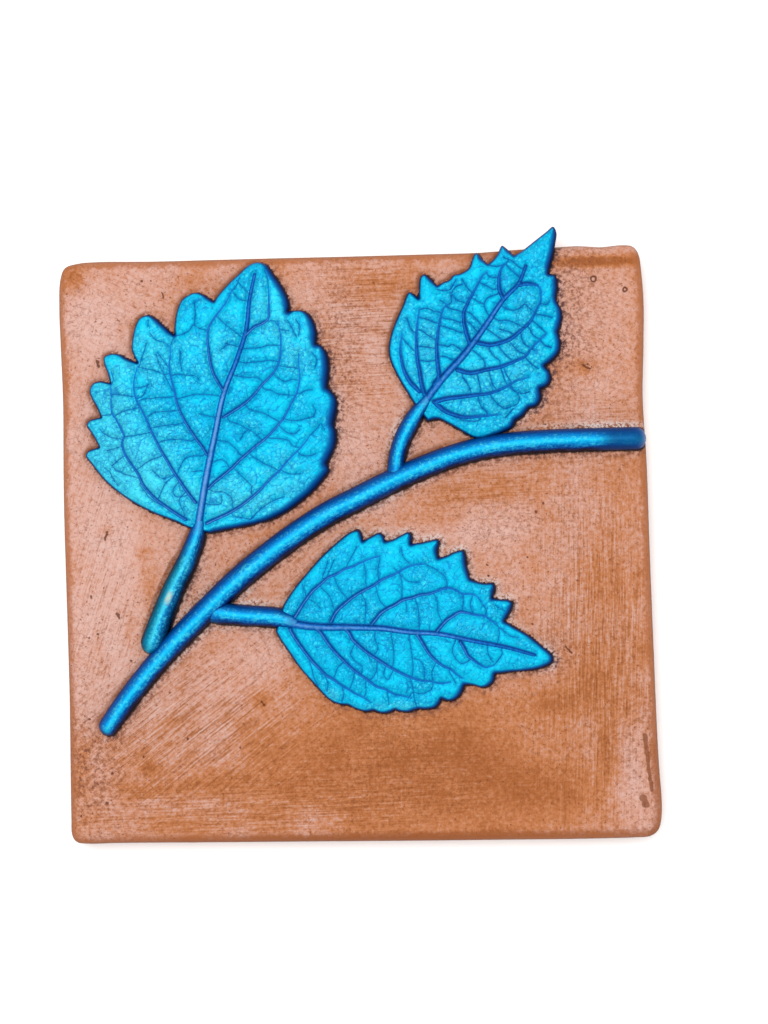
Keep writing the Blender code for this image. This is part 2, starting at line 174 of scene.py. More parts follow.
LOWER_LEAF = [
    [(-19.6, -14.6), (-18.0, -12.0), (-16.0, -9.3), (-11.5, -4.2), (-9.0, -1.6), (-4.0, 2.6),
     (-1.8, 4.1), (0.2, 4.5), (1.0, 3.4), (1.3, 1.8)],
    [(3.0, 2.6), (5.5, 3.7), (6.6, 3.0), (7.0, 1.6)],
    [(8.7, 1.8), (11.0, 2.9), (13.0, 3.7), (13.8, 2.8), (13.6, 0.7)],
    [(16.0, 0.9), (18.5, 1.4), (20.5, 1.7), (20.9, 0.6), (20.4, -1.0), (20.5, -3.0)],
    [(22.2, -2.8), (24.7, -1.7), (26.8, -1.3), (27.5, -2.6), (27.7, -5.0), (28.6, -8.6)],
    [(30.2, -9.4), (32.3, -9.9), (34.3, -9.9), (34.9, -10.9), (34.2, -13.6)],
    [(36.0, -14.1), (38.3, -14.3), (39.3, -15.1), (38.7, -17.2), (37.2, -19.6)],
    [(39.5, -21.2), (43.0, -23.3), (46.5, -26.2), (49.3, -29.1), (49.0, -30.6), (46.8, -31.7),
     (43.0, -32.5), (38.0, -32.8), (34.4, -33.2)],
    [(34.0, -35.0), (32.7, -36.2), (31.0, -36.6), (28.5, -35.9), (26.5, -35.9)],
    [(25.7, -37.9), (24.4, -39.3), (22.6, -39.8), (20.5, -39.3)],
    [(20.0, -40.4), (19.0, -41.4), (16.5, -41.8), (14.4, -41.7)],
    [(12.0, -42.4), (9.8, -42.2), (8.5, -41.8)],
    [(6.8, -42.5), (5.0, -42.5), (3.0, -41.8)],
    [(1.2, -42.1), (-1.5, -41.3), (-3.4, -40.3)],
    [(-6.2, -39.9), (-8.5, -38.6), (-11.5, -35.3), (-15.5, -30.6), (-18.2, -26.5), (-20.5, -23.0),
     (-21.6, -20.9)],
]

# Centre lines with the half width at each point
MAIN_STEM = [
    (-65.0, -44.2, 2.5), (-61.4, -39.2, 2.65), (-56.2, -32.7, 2.75), (-50.2, -25.9, 2.85),
    (-43.6, -19.2, 2.95), (-37.0, -12.9, 3.05), (-30.5, -7.0, 3.1), (-23.9, -1.8, 3.1),
    (-16.9, 3.2, 3.1), (-8.0, 8.7, 3.1), (0.0, 12.6, 3.05), (7.5, 16.2, 3.0), (15.4, 19.6, 2.95),
    (23.9, 22.7, 2.9), (32.7, 24.9, 2.9), (41.2, 25.9, 2.9), (50.0, 26.3, 2.9), (58.4, 26.4, 2.9),
    (65.5, 26.4, 2.9), (72.0, 26.4, 2.9),
]
LEFT_STALK = [
    (-53.2, -23.0, 3.1), (-51.7, -19.4, 3.1), (-50.0, -15.1, 2.95), (-47.4, -9.2, 2.8),
    (-43.8, -2.2, 2.6), (-41.5, 3.4, 2.25), (-40.6, 6.8, 1.7), (-40.2, 10.0, 1.1),
]
UPPER_STALK = [
    (9.9, 17.5, 2.2), (10.7, 23.5, 2.2), (12.3, 28.2, 2.2), (14.6, 32.2, 2.2), (17.3, 36.0, 1.8),
    (19.6, 38.8, 1.1),
]
LOWER_STALK = [
    (-39.2, -15.0, 2.9), (-35.4, -15.9, 2.85), (-31.0, -16.5, 2.7), (-25.0, -17.0, 2.6),
    (-21.0, -17.5, 2.6), (-18.6, -18.1, 2.2), (-15.6, -19.2, 1.2),
]
FULL_STALK = 2.1                        # half width under which a stalk sinks into its leaf
LEFT_RIB = [
    (-41.0, 5.5, 1.1), (-39.6, 13.0, 1.0), (-38.0, 21.0, 0.95), (-35.9, 30.0, 0.85),
    (-33.5, 40.0, 0.75), (-29.8, 49.0, 0.65), (-27.3, 56.5, 0.6), (-26.3, 64.0, 0.5),
    (-24.8, 70.5, 0.4),
]
UPPER_RIB = [
    (17.5, 36.3, 1.1), (22.5, 42.5, 1.0), (28.0, 48.3, 0.9), (34.0, 56.0, 0.75), (38.5, 62.3, 0.6),
    (42.6, 66.5, 0.5), (44.6, 71.0, 0.4),
]
LOWER_RIB = [
    (-18.0, -19.0, 1.1), (-12.0, -20.0, 1.0), (-3.0, -20.4, 0.85), (5.0, -20.8, 0.75),
    (13.0, -22.0, 0.65), (20.0, -22.6, 0.55), (28.0, -24.4, 0.5), (38.0, -26.6, 0.45),
    (44.5, -28.6, 0.35),
]

# Veins in points of the photograph, from the middle rib outwards
LEFT_VEINS = [
    [(186, 520), (175, 513), (165, 506), (157, 500), (150, 493), (143, 484), (139, 475),
     (133, 466), (127, 457), (124, 450), (123, 443), (125, 437), (122, 430), (117, 420),
     (113, 414), (112, 405), (112, 395), (111, 385)],
    [(196, 503), (186, 490), (180, 481), (174, 472), (167, 460), (161, 450), (156, 440),
     (151, 430), (147, 420), (142, 410), (137, 400), (135, 392), (135, 380), (137, 372),
     (138, 367)],
    [(207, 455), (203, 448), (197, 440), (191, 431), (186, 423), (181, 413), (177, 402),
     (175, 392), (172, 380), (170, 368), (171, 356), (171, 346)],
    [(224, 392), (219, 384), (214, 375), (211, 365), (209, 352), (208, 340), (209, 330),
     (214, 320), (220, 312), (226, 304), (232, 292)],
    [(246, 336), (255, 328), (262, 325), (268, 320), (269, 310), (269, 300), (269, 290)],
    [(224, 418), (232, 413), (240, 408), (248, 402), (255, 395), (262, 386), (270, 378),
     (276, 370), (280, 360), (281, 348), (281, 338), (278, 322)],
    [(209, 489), (215, 483), (225, 475), (232, 469), (240, 461), (248, 454), (256, 447),
     (265, 440), (272, 433), (279, 425), (285, 417), (290, 407), (295, 398), (298, 390),
     (300, 378), (299, 365), (299, 355)],
    [(207, 524), (213, 521), (222, 517), (232, 512), (243, 505), (252, 498), (261, 490),
     (270, 480), (279, 472), (286, 463), (293, 456), (300, 449), (306, 442), (310, 436)],
]
LEFT_TWIGS = [
    [(125, 437), (135, 436), (150, 433)], [(120, 439), (113, 438), (105, 434), (101, 430)],
    [(122, 447), (115, 449), (108, 451)], [(174, 392), (165, 375), (160, 365), (157, 355)],
    [(171, 371), (165, 362), (158, 353)], [(265, 322), (275, 322), (281, 330), (289, 331)],
    [(287, 420), (297, 421), (306, 419), (314, 417)], [(250, 520), (258, 512), (268, 504),
                                                     (276, 500), (284, 497)],
    [(176, 337), (183, 335), (190, 331), (194, 326), (200, 329), (208, 331)],
    [(195, 325), (196, 315), (195, 303)], [(114, 395), (120, 395), (134, 397)],
    [(143, 400), (152, 399), (160, 398), (168, 398)], [(118, 415), (127, 411), (140, 408)],
    [(103, 416), (111, 415)], [(150, 416), (155, 413), (165, 412), (176, 411)],
    [(154, 428), (165, 426), (182, 424)], [(162, 442), (170, 440), (182, 440), (193, 441)],
    [(142, 467), (147, 463), (152, 460), (158, 458), (163, 456)],
    [(203, 456), (197, 456), (190, 457), (185, 460), (181, 467), (178, 474)],
    [(160, 497), (163, 490), (166, 484), (170, 480), (175, 476)],
    [(174, 490), (176, 496), (181, 497), (189, 495)], [(180, 500), (182, 507), (185, 515)],
    [(113, 466), (117, 470), (125, 474), (135, 477), (141, 479)],
    [(110, 471), (114, 479), (119, 486)], [(113, 466), (119, 461), (124, 457)],
    [(141, 484), (146, 492), (151, 498), (158, 503), (168, 508)],
    [(184, 398), (195, 395), (207, 395), (218, 396)], [(199, 414), (207, 416), (217, 418)],
    [(202, 471), (193, 472)], [(153, 470), (158, 475), (164, 479)],
    [(230, 421), (240, 425), (247, 429), (253, 432), (261, 439)],
    [(249, 409), (258, 412), (265, 414), (272, 418), (278, 421)],
    [(220, 441), (227, 442), (233, 446), (237, 450), (241, 455), (246, 456)],
    [(213, 462), (222, 460), (227, 463), (230, 468)],
    [(266, 390), (272, 391), (277, 394), (283, 395), (294, 396)],
    [(269, 438), (280, 439), (289, 441), (293, 446), (300, 448)],
    [(252, 456), (258, 460), (265, 464), (272, 467), (279, 471)],
    [(236, 470), (242, 476), (248, 482), (252, 486), (252, 493)],
    [(211, 490), (216, 492), (223, 492), (229, 495), (233, 500), (233, 506)],
    [(222, 495), (222, 503), (213, 505)], [(283, 471), (290, 474), (301, 474)],
    [(300, 394), (306, 391), (313, 390)], [(314, 416), (316, 411), (313, 406)],
    [(288, 433), (295, 434), (300, 430)], [(234, 516), (244, 518), (252, 519), (256, 514)],
    [(241, 440), (245, 433), (249, 430)], [(301, 455), (310, 456), (316, 454)],
    [(141, 368), (150, 370), (158, 372), (165, 375)],
    [(151, 334), (156, 340), (165, 343), (171, 348)],
    [(181, 352), (181, 362), (183, 372)], [(178, 375), (188, 376), (197, 377), (200, 381)],
    [(140, 366), (142, 360), (145, 352), (147, 344)], [(112, 386), (114, 380), (112, 372)],
    [(142, 388), (150, 385)], [(143, 397), (149, 385)], [(149, 320), (149, 327)],
    [(219, 319), (228, 327), (235, 332), (243, 338)],
    [(243, 349), (252, 349), (262, 348), (268, 346), (278, 346)],
    [(242, 363), (252, 363), (262, 362), (270, 361), (277, 362)],
    [(236, 376), (248, 378), (257, 378), (263, 382)], [(226, 344), (237, 347)],
    [(282, 367), (292, 368), (299, 369)], [(281, 380), (286, 382), (292, 380)],
    [(269, 290), (268, 280), (265, 271)], [(288, 321), (292, 328), (297, 338)],
    [(296, 320), (300, 327), (299, 336)], [(312, 353), (317, 360), (315, 369)],
    [(237, 281), (243, 288), (250, 295)], [(232, 291), (240, 300)], [(229, 345), (222, 350)],
    [(318, 428), (321, 424), (325, 430)], [(232, 292), (237, 286), (240, 278)],
]
UPPER_VEINS = [
    [(419, 392), (410, 383), (404, 372), (401, 360), (400, 348), (402, 335)],
    [(424, 395), (421, 385), (419, 372), (417, 360), (416, 345), (416, 335), (417, 325),
     (419, 310)],
    [(434, 385), (438, 378), (437, 365), (436, 350), (437, 338), (439, 325), (442, 312),
     (446, 305)],
    [(469, 344), (465, 332), (463, 315), (467, 305), (471, 297), (476, 288), (482, 277),
     (487, 273)],
    [(503, 300), (499, 292), (498, 285), (499, 275), (502, 268), (508, 262)],
    [(519, 286), (529, 285), (537, 287), (541, 293)],
    [(478, 344), (490, 346), (500, 344), (510, 340), (520, 332), (530, 322), (535, 312),
     (540, 301), (539, 288)],
    [(457, 371), (470, 374), (485, 371), (500, 368), (515, 362), (525, 357), (530, 350),
     (540, 340), (545, 335)],
    [(434, 403), (445, 400), (460, 398), (475, 396), (490, 394), (505, 388), (515, 382),
     (528, 378)],
    [(436, 405), (445, 412), (455, 416), (465, 418), (480, 417), (500, 415)],
]
UPPER_TWIGS = [
    [(491, 319), (486, 312), (484, 305), (487, 299), (494, 296)],
    [(421, 331), (428, 336), (435, 340)], [(421, 347), (428, 348), (435, 349)],
    [(421, 361), (427, 362), (434, 361)], [(424, 319), (432, 322), (438, 324)],
    [(427, 309), (434, 312), (440, 313)], [(444, 346), (448, 347), (452, 345), (460, 350)],
    [(443, 327), (452, 330), (461, 333)], [(444, 319), (450, 320), (461, 323)],
    [(449, 309), (457, 311), (465, 314)], [(440, 301), (446, 305), (449, 309)],
    [(450, 293), (456, 300), (463, 303), (469, 305)], [(444, 357), (451, 360), (457, 362)],
    [(402, 338), (408, 345), (414, 351)], [(407, 319), (410, 328), (413, 332), (417, 334)],
    [(437, 290), (442, 291), (450, 290), (453, 285), (456, 280)],
    [(462, 280), (466, 287), (470, 292), (474, 296)],
    [(451, 303), (451, 295), (455, 288), (462, 285)], [(474, 300), (479, 303), (484, 305)],
    [(470, 314), (477, 321), (484, 329)], [(468, 323), (474, 329), (479, 334)],
    [(489, 266), (497, 267), (504, 265)], [(487, 287), (493, 290), (500, 289)],
    [(489, 277), (498, 279)], [(510, 270), (518, 277)],
    [(505, 309), (512, 311), (519, 309), (524, 305), (528, 308), (534, 313)],
    [(498, 321), (507, 321), (515, 324), (523, 328)], [(499, 330), (507, 332), (515, 336)],
    [(490, 332), (497, 337), (503, 342)], [(540, 304), (546, 305), (549, 302)],
    [(537, 315), (543, 316), (552, 318)], [(533, 322), (540, 328), (546, 334)],
    [(529, 329), (533, 336), (539, 339), (544, 335)],
    [(474, 352), (480, 357), (484, 362), (485, 370)],
    [(489, 350), (495, 358), (499, 361), (500, 368)], [(499, 348), (506, 356), (513, 362)],
    [(510, 343), (517, 351), (525, 355)], [(520, 333), (523, 343), (529, 348), (533, 350)],
    [(526, 359), (533, 366), (538, 369)], [(540, 341), (545, 346), (551, 348)],
    [(462, 376), (467, 384), (470, 390), (471, 397)], [(477, 375), (480, 388), (481, 396)],
    [(489, 373), (493, 386), (498, 392)], [(501, 370), (506, 384), (510, 388)],
    [(506, 375), (512, 384)], [(478, 398), (481, 407), (485, 411), (488, 416)],
    [(491, 397), (497, 404), (502, 408), (505, 409), (511, 407), (517, 404), (519, 398),
     (516, 393), (511, 389)],
    [(514, 391), (522, 394), (529, 392)], [(440, 407), (450, 415), (462, 420), (478, 421)],
    [(519, 268), (512, 262), (503, 258)], [(505, 418), (513, 409)],
]
LOWER_VEINS = [
    [(292, 620), (295, 617), (300, 609), (306, 600), (313, 591), (320, 585), (328, 578),
     (337, 574), (345, 569), (352, 567), (360, 563), (370, 559), (380, 556)],
    [(331, 622), (335, 614), (340, 608), (346, 603), (352, 598), (358, 594), (365, 590),
     (373, 586), (380, 581), (388, 577), (395, 574), (402, 570), (408, 567), (415, 565),
     (425, 564)],
    [(372, 624), (376, 619), (380, 614), (387, 609), (395, 605), (403, 600), (412, 598),
     (420, 595), (428, 594), (435, 592), (442, 589), (448, 588), (455, 590), (462, 594),
     (470, 594), (476, 596), (481, 602)],
    [(437, 631), (442, 625), (447, 620), (453, 616), (460, 612), (467, 613), (476, 615),
     (484, 616), (490, 620), (495, 624)],
    [(460, 642), (464, 649), (467, 655), (473, 660), (479, 664), (485, 667), (490, 666)],
    [(417, 635), (421, 641), (425, 648), (430, 655), (436, 661), (443, 666), (450, 669),
     (456, 674), (462, 678)],
    [(345, 629), (349, 633), (352, 639), (358, 645), (365, 651), (372, 656), (380, 661),
     (388, 666), (395, 670), (403, 674), (410, 677), (420, 680), (430, 681), (440, 683),
     (450, 682)],
    [(316, 628), (321, 633), (325, 639), (330, 646), (336, 653), (342, 659), (348, 665),
     (355, 671), (362, 676), (368, 680), (376, 686), (385, 689), (395, 694), (405, 696),
     (411, 698)],
    [(290, 629), (293, 635), (297, 641), (302, 648), (308, 656), (313, 662), (319, 668),
     (326, 675), (333, 679), (340, 684), (347, 688), (355, 693), (365, 698), (370, 702)],
]
LOWER_TWIGS = [
    [(347, 566), (351, 558), (357, 547)], [(323, 577), (326, 568), (328, 561)],
    [(328, 575), (331, 568), (334, 560)], [(311, 600), (316, 603), (321, 608)],
    [(323, 589), (329, 595), (332, 601), (334, 608)], [(338, 586), (342, 592), (348, 599)],
    [(361, 592), (365, 600), (366, 607), (365, 620)],
    [(376, 587), (378, 595), (381, 602), (386, 607)], [(364, 563), (366, 573), (366, 584)],
    [(380, 558), (378, 570), (379, 581)], [(394, 568), (400, 575), (402, 585), (402, 599)],
    [(401, 547), (403, 556), (408, 562), (413, 566)], [(406, 602), (407, 611)],
    [(415, 598), (418, 608), (419, 618), (419, 629)], [(302, 584), (305, 590), (307, 598)],
    [(402, 576), (408, 581), (419, 582)], [(309, 659), (312, 668), (314, 677), (318, 685)],
    [(323, 672), (328, 682), (327, 691)], [(342, 686), (344, 694), (342, 701)],
    [(355, 671), (353, 680), (350, 688)], [(366, 682), (366, 692), (364, 697)],
    [(351, 654), (356, 661), (362, 666)], [(377, 662), (377, 669), (374, 675), (369, 681)],
    [(391, 633), (393, 645), (394, 656), (393, 664)],
    [(409, 636), (411, 648), (412, 657), (413, 665), (412, 675)],
    [(384, 675), (388, 679), (391, 674)], [(410, 678), (413, 688), (414, 697), (417, 707)],
    [(388, 692), (389, 704)], [(375, 638), (378, 648)], [(338, 667), (335, 675)],
    [(413, 692), (420, 693), (431, 689)], [(433, 593), (437, 600), (438, 612), (442, 621)],
    [(463, 594), (463, 603), (461, 612)],
    [(427, 565), (437, 570), (445, 577), (447, 584), (446, 590)],
    [(497, 643), (499, 632), (496, 622)], [(499, 645), (502, 652), (499, 658), (493, 665)],
    [(487, 648), (489, 656), (493, 662)], [(433, 681), (432, 671), (436, 662)],
    [(449, 670), (453, 678), (456, 683)], [(412, 658), (420, 660), (424, 668), (424, 677)],
    [(504, 631), (511, 636), (518, 637)], [(495, 605), (505, 611)], [(486, 610), (484, 618)],
    [(474, 615), (470, 605), (472, 597)], [(455, 641), (452, 650), (457, 660), (462, 663)],
]
# How each leaf is raised, how wide its rim and veins are, and how much painted shade and painted
# highlight lies on them;
# light_share is the stretch of the rib that has caught the light
LEAVES = {
    "leaf_left": dict(lobes=LEFT_LEAF, rib=LEFT_RIB, veins=LEFT_VEINS, twigs=LEFT_TWIGS,
                      rim=2.3, swell=0.9, far_rim=1.3, seed=4, rib_light=0.9, vein_light=0.6,
                      rib_shade=0.6, light_share=0.4, vein_half=0.14, vein_shade=0.34,
                      fine_half=0.2),
    "leaf_upper": dict(lobes=UPPER_LEAF, rib=UPPER_RIB, veins=UPPER_VEINS, twigs=UPPER_TWIGS,
                       rim=2.1, swell=0.8, far_rim=0.85, seed=9, rib_light=0.6, vein_light=0.35,
                       rib_shade=0.8, light_share=0.6, vein_half=0.3, vein_shade=0.42,
                       fine_half=0.26),
    "leaf_lower": dict(lobes=LOWER_LEAF, rib=LOWER_RIB, veins=LOWER_VEINS, twigs=LOWER_TWIGS,
                       rim=2.1, swell=0.9, far_rim=0.7, seed=15, rib_light=0.7, vein_light=0.6,
                       rib_shade=0.9, light_share=0.5, vein_half=0.16, vein_shade=0.42,
                       fine_half=0.19),
}
STALKS = {"stalk_left": LEFT_STALK, "stalk_upper": UPPER_STALK, "stalk_lower": LOWER_STALK}


def mm(value):
    return value * MM


def on_face(points):
    """Millimetres on the tile for points of the photograph."""
    turn, middle = PICTURE_TURN, PICTURE_TILE_CENTRE
    placed = []
    for across, down in points:
        right = (across - middle[0]) * PICTURE_POINT
        up = (middle[1] - down) * PICTURE_POINT
        placed.append((right * math.cos(turn) + up * math.sin(turn),
                       up * math.cos(turn) - right * math.sin(turn)))
    return placed


def between(one, two, start, stop, at):
    return one + (two - one) * (at - start) / (stop - start)


def soft_curve(points, spacing):
    """Places on a soft curve through the points; further values are carried along."""
    points = [np.array(point, float) for point in points]
    points = [2 * points[0] - points[1], *points, 2 * points[-1] - points[-2]]
    line = []
    for a, b, c, d in zip(points, points[1:], points[2:], points[3:]):
        steps = [math.sqrt(math.dist(p[:2], q[:2])) for p, q in ((a, b), (b, c), (c, d))]
        t0, t1, t2, t3 = 0.0, steps[0], sum(steps[:2]), sum(steps)
        count = max(1, round(math.dist(b[:2], c[:2]) / spacing))
        for at in np.linspace(t1, t2, count, endpoint=False):
            ab, bc = between(a, b, t0, t1, at), between(b, c, t1, t2, at)
            cd = between(c, d, t2, t3, at)
            line.append(between(between(ab, bc, t0, t2, at), between(bc, cd, t1, t3, at),
                                t1, t2, at))
    line.append(points[-2])
    return np.array(line)


def leaf_edge(lobes, spacing):
    """A leaf's outline: each lobe is a soft curve, and the notches between them stay sharp."""
    parts = []
    for before, lobe in zip([lobes[-1]] + lobes[:-1], lobes):
        parts.append(soft_curve([before[-1]] + lobe, spacing)[:-1])
    return np.concatenate(parts)


def nearest(marks, places):
    """For each place the nearest of the marks: its index and its distance."""
    tree = KDTree(len(marks))
    for index, (x, y) in enumerate(marks[:, :2]):
        tree.insert((x, y, 0.0), index)
    tree.balance()
    found = [tree.find((x, y, 0.0))[1:] for x, y in places[:, :2]]
    index, distance = np.array(found).T
    return index.astype(int), distance


def hill(distance, reach):
    """1 at a distance of 0, fading softly to 0."""
    return np.exp(-(distance / reach) ** 2)


def climb(distance, reach):
    """0 up to a distance of 0, then straight up to 1 at its reach."""
    return np.clip(distance / reach, 0.0, 1.0)


def unevenness(spots, scale, seed):
    """A soft random rise and fall over the face."""
    return np.array([noise.noise(Vector((x * scale, y * scale, seed))) for x, y in spots[:, :2]])


def places_of(mesh):
    """The mesh's points in millimetres."""
    flat = np.empty(len(mesh.vertices) * 3)
    mesh.vertices.foreach_get("co", flat)
    return flat.reshape(-1, 3) / MM


def place(mesh, spots):
    mesh.vertices.foreach_set("co", (spots * MM).ravel())
    mesh.update()


def mark(mesh, **values):
    """Keeps values on the mesh's points for its material."""
    for name, value in values.items():
        layer = mesh.attributes.new(name, "FLOAT", "POINT")
        layer.data.foreach_set("value", np.asarray(value, np.float32))


def object_from(bm, name):
    mesh = bpy.data.meshes.new(name)
    bm.to_mesh(mesh)
    bm.free()
    item = bpy.data.objects.new(name, mesh)
    bpy.context.collection.objects.link(item)
    return item


def even_out(item, grain):
    """Gives the item small even faces, with its flat underside as one face."""
    remesh = item.modifiers.new("even_faces", "REMESH")
    remesh.mode = "VOXEL"
    remesh.voxel_size = grain
    even = bpy.data.meshes.new_from_object(
        item.evaluated_get(bpy.context.evaluated_depsgraph_get()))
    item.modifiers.clear()
    item.data = even
    bm = bmesh.new()
    bm.from_mesh(even)
    under = [face for face in bm.faces if face.normal.z < -0.99]
    bmesh.ops.dissolve_faces(bm, faces=under)
    for face in bm.faces:
        face.smooth = face.normal.z > -0.99
    bm.to_mesh(even)
    bm.free()


def skin(bm, rings):
    """Walls from ring to ring, with both ends closed."""
    for one, two in zip(rings, rings[1:]):
        edges = {edge for vert in (one[0], two[0]) for edge in ring_edges(vert, one, two)}
        bmesh.ops.bridge_loops(bm, edges=list(edges))
    for ring in (rings[0], rings[-1]):
        bmesh.ops.contextual_create(bm, geom=ring)
    bmesh.ops.recalc_face_normals(bm, faces=bm.faces)


def ring_edges(start, one, two):
    ring = set(one) if start in one else set(two)
    return [edge for vert in ring for edge in vert.link_edges if set(edge.verts) <= ring]


def dress(item, material):
    """The piece gets its finish and rides on the one body in place of the plain tile."""
    item.data.materials.append(material)
    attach(item, "root")
    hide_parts("relief_tile")


# Sprig

def shaded_side(spots, line, at):
    """1 on the side of a vein where its painted shade lies wider, -1 on the other."""
    offset = spots[:, :2] - line[at, :2]
    return np.clip((offset @ np.array(SHADED_SIDE)) / SHADE_BLEND, -1.0, 1.0)


def joined(twig, trunk):
    """A fine vein, drawn on to the stouter vein ahead of each of its ends where one is near."""
    for _ in range(2):
        twig = [np.array(point) for point in reversed(twig)]
        gaps = trunk - twig[-1]
        lengths = np.linalg.norm(gaps, axis=1)
        ahead = twig[-1] - twig[-2]
        facing = gaps @ ahead / (np.linalg.norm(ahead) * lengths + 0.001)
        open_gaps = np.where((facing > 0.55) & (lengths > TOUCHING), lengths, FAR_OFF)
        if open_gaps.min() < TWIG_GAP and lengths.min() > TOUCHING:
            twig.append(trunk[open_gaps.argmin()])
    return twig


def leaf_blank(name, edge):
    """A plain slice on a leaf's outline."""
    bm = bmesh.new()
    floor = bm.faces.new([bm.verts.new((mm(x), mm(y), mm(LEAF_FOOT))) for x, y in edge])
    raised = bmesh.ops.extrude_face_region(bm, geom=[floor], use_keep_orig=True)["geom"]
    lid = next(part for part in raised if isinstance(part, bmesh.types.BMFace))
    bmesh.ops.translate(bm, verts=lid.verts, vec=(0.0, 0.0, mm(LEAF_BLANK_TOP - LEAF_FOOT)))
    bmesh.ops.recalc_face_normals(bm, faces=bm.faces)
    return object_from(bm, name)


def far_side(edge):
    """How much each place on an outline faces away from the light, from 0 to 1."""
    along = np.roll(edge, -3, axis=0) - np.roll(edge, 3, axis=0)
    outward = np.column_stack([-along[:, 1], along[:, 0]])
    outward = outward / np.linalg.norm(outward, axis=1)[:, None]
    facing = np.clip(outward @ np.array(FAR_SIDE), 0.0, 1.0)
    facing = np.concatenate([facing[-RIM_BLEND:], facing, facing[:RIM_BLEND]])
    window = 2 * RIM_BLEND + 1
    return np.convolve(facing, np.ones(window) / window, "valid")


def vein_lines(leaf):
    """A leaf's rib, its side veins with their sizes, and its fine veins."""
    rib = soft_curve(leaf["rib"], VEIN_STEP)
    veins = [soft_curve(on_face(vein), VEIN_STEP) for vein in leaf["veins"]]
    trunk = np.concatenate([rib[:, :2], *veins])
    twigs = [soft_curve(joined(on_face(twig), trunk), VEIN_STEP) for twig in leaf["twigs"]]
    sizes = [1.0 - SIDE_TAPER * np.linspace(0.0, 1.0, len(vein)) for vein in veins]
    side = np.concatenate([np.column_stack(pair) for pair in zip(veins, sizes)])
    return rib, side, np.concatenate(twigs)


def finest_net(spots, seed):
    """1 along the lines of the finest net of a leaf."""
    cells = np.array([noise.voronoi(Vector((x * NET_CELLS, y * NET_CELLS, seed)))[0][:2]
                      for x, y in spots[:, :2]])
    return hill((cells[:, 1] - cells[:, 0]) / NET_CELLS, NET_LINE)


def leaf_form(name, leaf):
    """One leaf: a blank on its outline, then rim, swell, ribs, veins and their pillows."""
    edge = leaf_edge(leaf["lobes"], OUTLINE_STEP)
    item = leaf_blank(name, edge)
    even_out(item, mm(LEAF_GRAIN))
    spots = places_of(item.data)
    rib, side, fine = vein_lines(leaf)

    rim_at, rim_away = nearest(edge, spots)
    softness = RIM_SOFT_LEFT + RIM_SOFT_RIGHT * leaf["far_rim"] * far_side(edge)[rim_at]
    roundness = climb(rim_away, softness)
    inside = climb(rim_away, SWELL_REACH)
    level = RIM_WALL + (leaf["rim"] - RIM_WALL) * np.sqrt(1.0 - (1.0 - roundness) ** 2)
    level += leaf["swell"] * inside * (2.0 - inside)

    rib_at, rib_away = nearest(rib, spots)
    rib_half = rib[rib_at, 2]
    side_at, side_away = nearest(side, spots)
    side_size = side[side_at, 2]
    _, fine_away = nearest(fine, spots)
    calm = climb(rim_away, RIM_CALM)

    any_vein = np.minimum(np.minimum(rib_away - rib_half * 0.6, side_away), fine_away + 0.15)
    level += calm * PILLOW_RISE * (1.0 - hill(any_vein, PILLOW_REACH))
    rib_crest = np.sqrt(np.clip(1.0 - (rib_away / rib_half) ** 2, 0.0, 1.0))
    rib_hollow = hill(rib_away, rib_half * 1.9)
    level += (RIB_RISE * rib_half * rib_crest - RIB_VALLEY * rib_hollow) * climb(rim_away, 1.0)
    side_half = leaf["vein_half"] * side_size
    side_crest = hill(np.maximum(side_away - 0.5 * side_half, 0.0), 0.1 + 0.5 * side_half)
    side_hollow = hill(side_away, 0.75 * side_size + 0.15)
    level += calm * (SIDE_RISE * side_size * side_crest - SIDE_VALLEY * side_size * side_hollow)
    fine_hollow = hill(fine_away, 1.3 * leaf["fine_half"])
    level -= calm * FINE_VALLEY * leaf["fine_half"] * fine_hollow * (1.0 - side_hollow)
    net = finest_net(spots, leaf["seed"])
    lumps = unevenness(spots, 0.9, leaf["seed"] + 3.0)
    level += calm * (LUMPS * lumps - LUMPS * net)

    # Painted shade beside the rib and the side veins, wider on their shaded side, and painted highlight
    # along their crests
    rib_shade = leaf["rib_shade"] * (0.2 + 0.4 * rib_half)
    rib_shade = rib_shade * (1.0 + 0.6 * shaded_side(spots, rib, rib_at))
    rib_dark = hill(np.maximum(rib_away - rib_half * 0.65, 0.0), 0.8 * rib_shade)
    side_shade = leaf["vein_shade"] * (1.0 + 0.55 * shaded_side(spots, side, side_at))
    side_dark = hill(np.maximum(side_away - side_half, 0.0), side_shade * (0.45 + 0.55 * side_size))
    side_dark *= np.clip(0.15 + 1.1 * side_size, 0.0, 1.0)
    side_light = leaf["vein_light"] * side_crest * np.clip(0.3 + side_size, 0.0, 1.0)
    rib_fade = np.clip(2.2 - rib_at / len(rib) / leaf["light_share"], 0.5, 1.0)
    rib_light = leaf["rib_light"] * rib_fade * hill(rib_away, 0.62 * rib_half)
    under_rim = climb(FACE + 0.6 - spots[:, 2], 0.5)
    pillow = 1.0 - hill(any_vein, 0.9)

    stretch = (FACE + level - LEAF_FOOT) / (LEAF_BLANK_TOP - LEAF_FOOT)
    spots[:, 2] = LEAF_FOOT + (spots[:, 2] - LEAF_FOOT) * stretch
    place(item.data, spots)
    # rim and hollow carry painted shade, crest and pillow painted light
    mark(item.data, rim=(1.0 - roundness) * (0.87 + 0.13 * under_rim), pillow=pillow * calm,
         hollow=np.maximum(rib_dark, side_dark), pale=patches(spots, PALE_PATCHES),
         crest=np.maximum(rib_light, side_light * calm),
         fine=hill(fine_away, leaf["fine_half"]) * (1.0 - side_crest) * (1.0 - rib_crest),
         net=net * calm)
    return item


def face_level(x):
    """The plain face, which falls away over the right-hand arris; metres."""
    beyond = min(max(x - (RIGHT_EDGE_AT_STEM - ARRIS_RADIUS), 0.0), ARRIS_RADIUS)
    return TILE_THICKNESS - ARRIS_RADIUS + math.sqrt(ARRIS_RADIUS ** 2 - beyond ** 2)


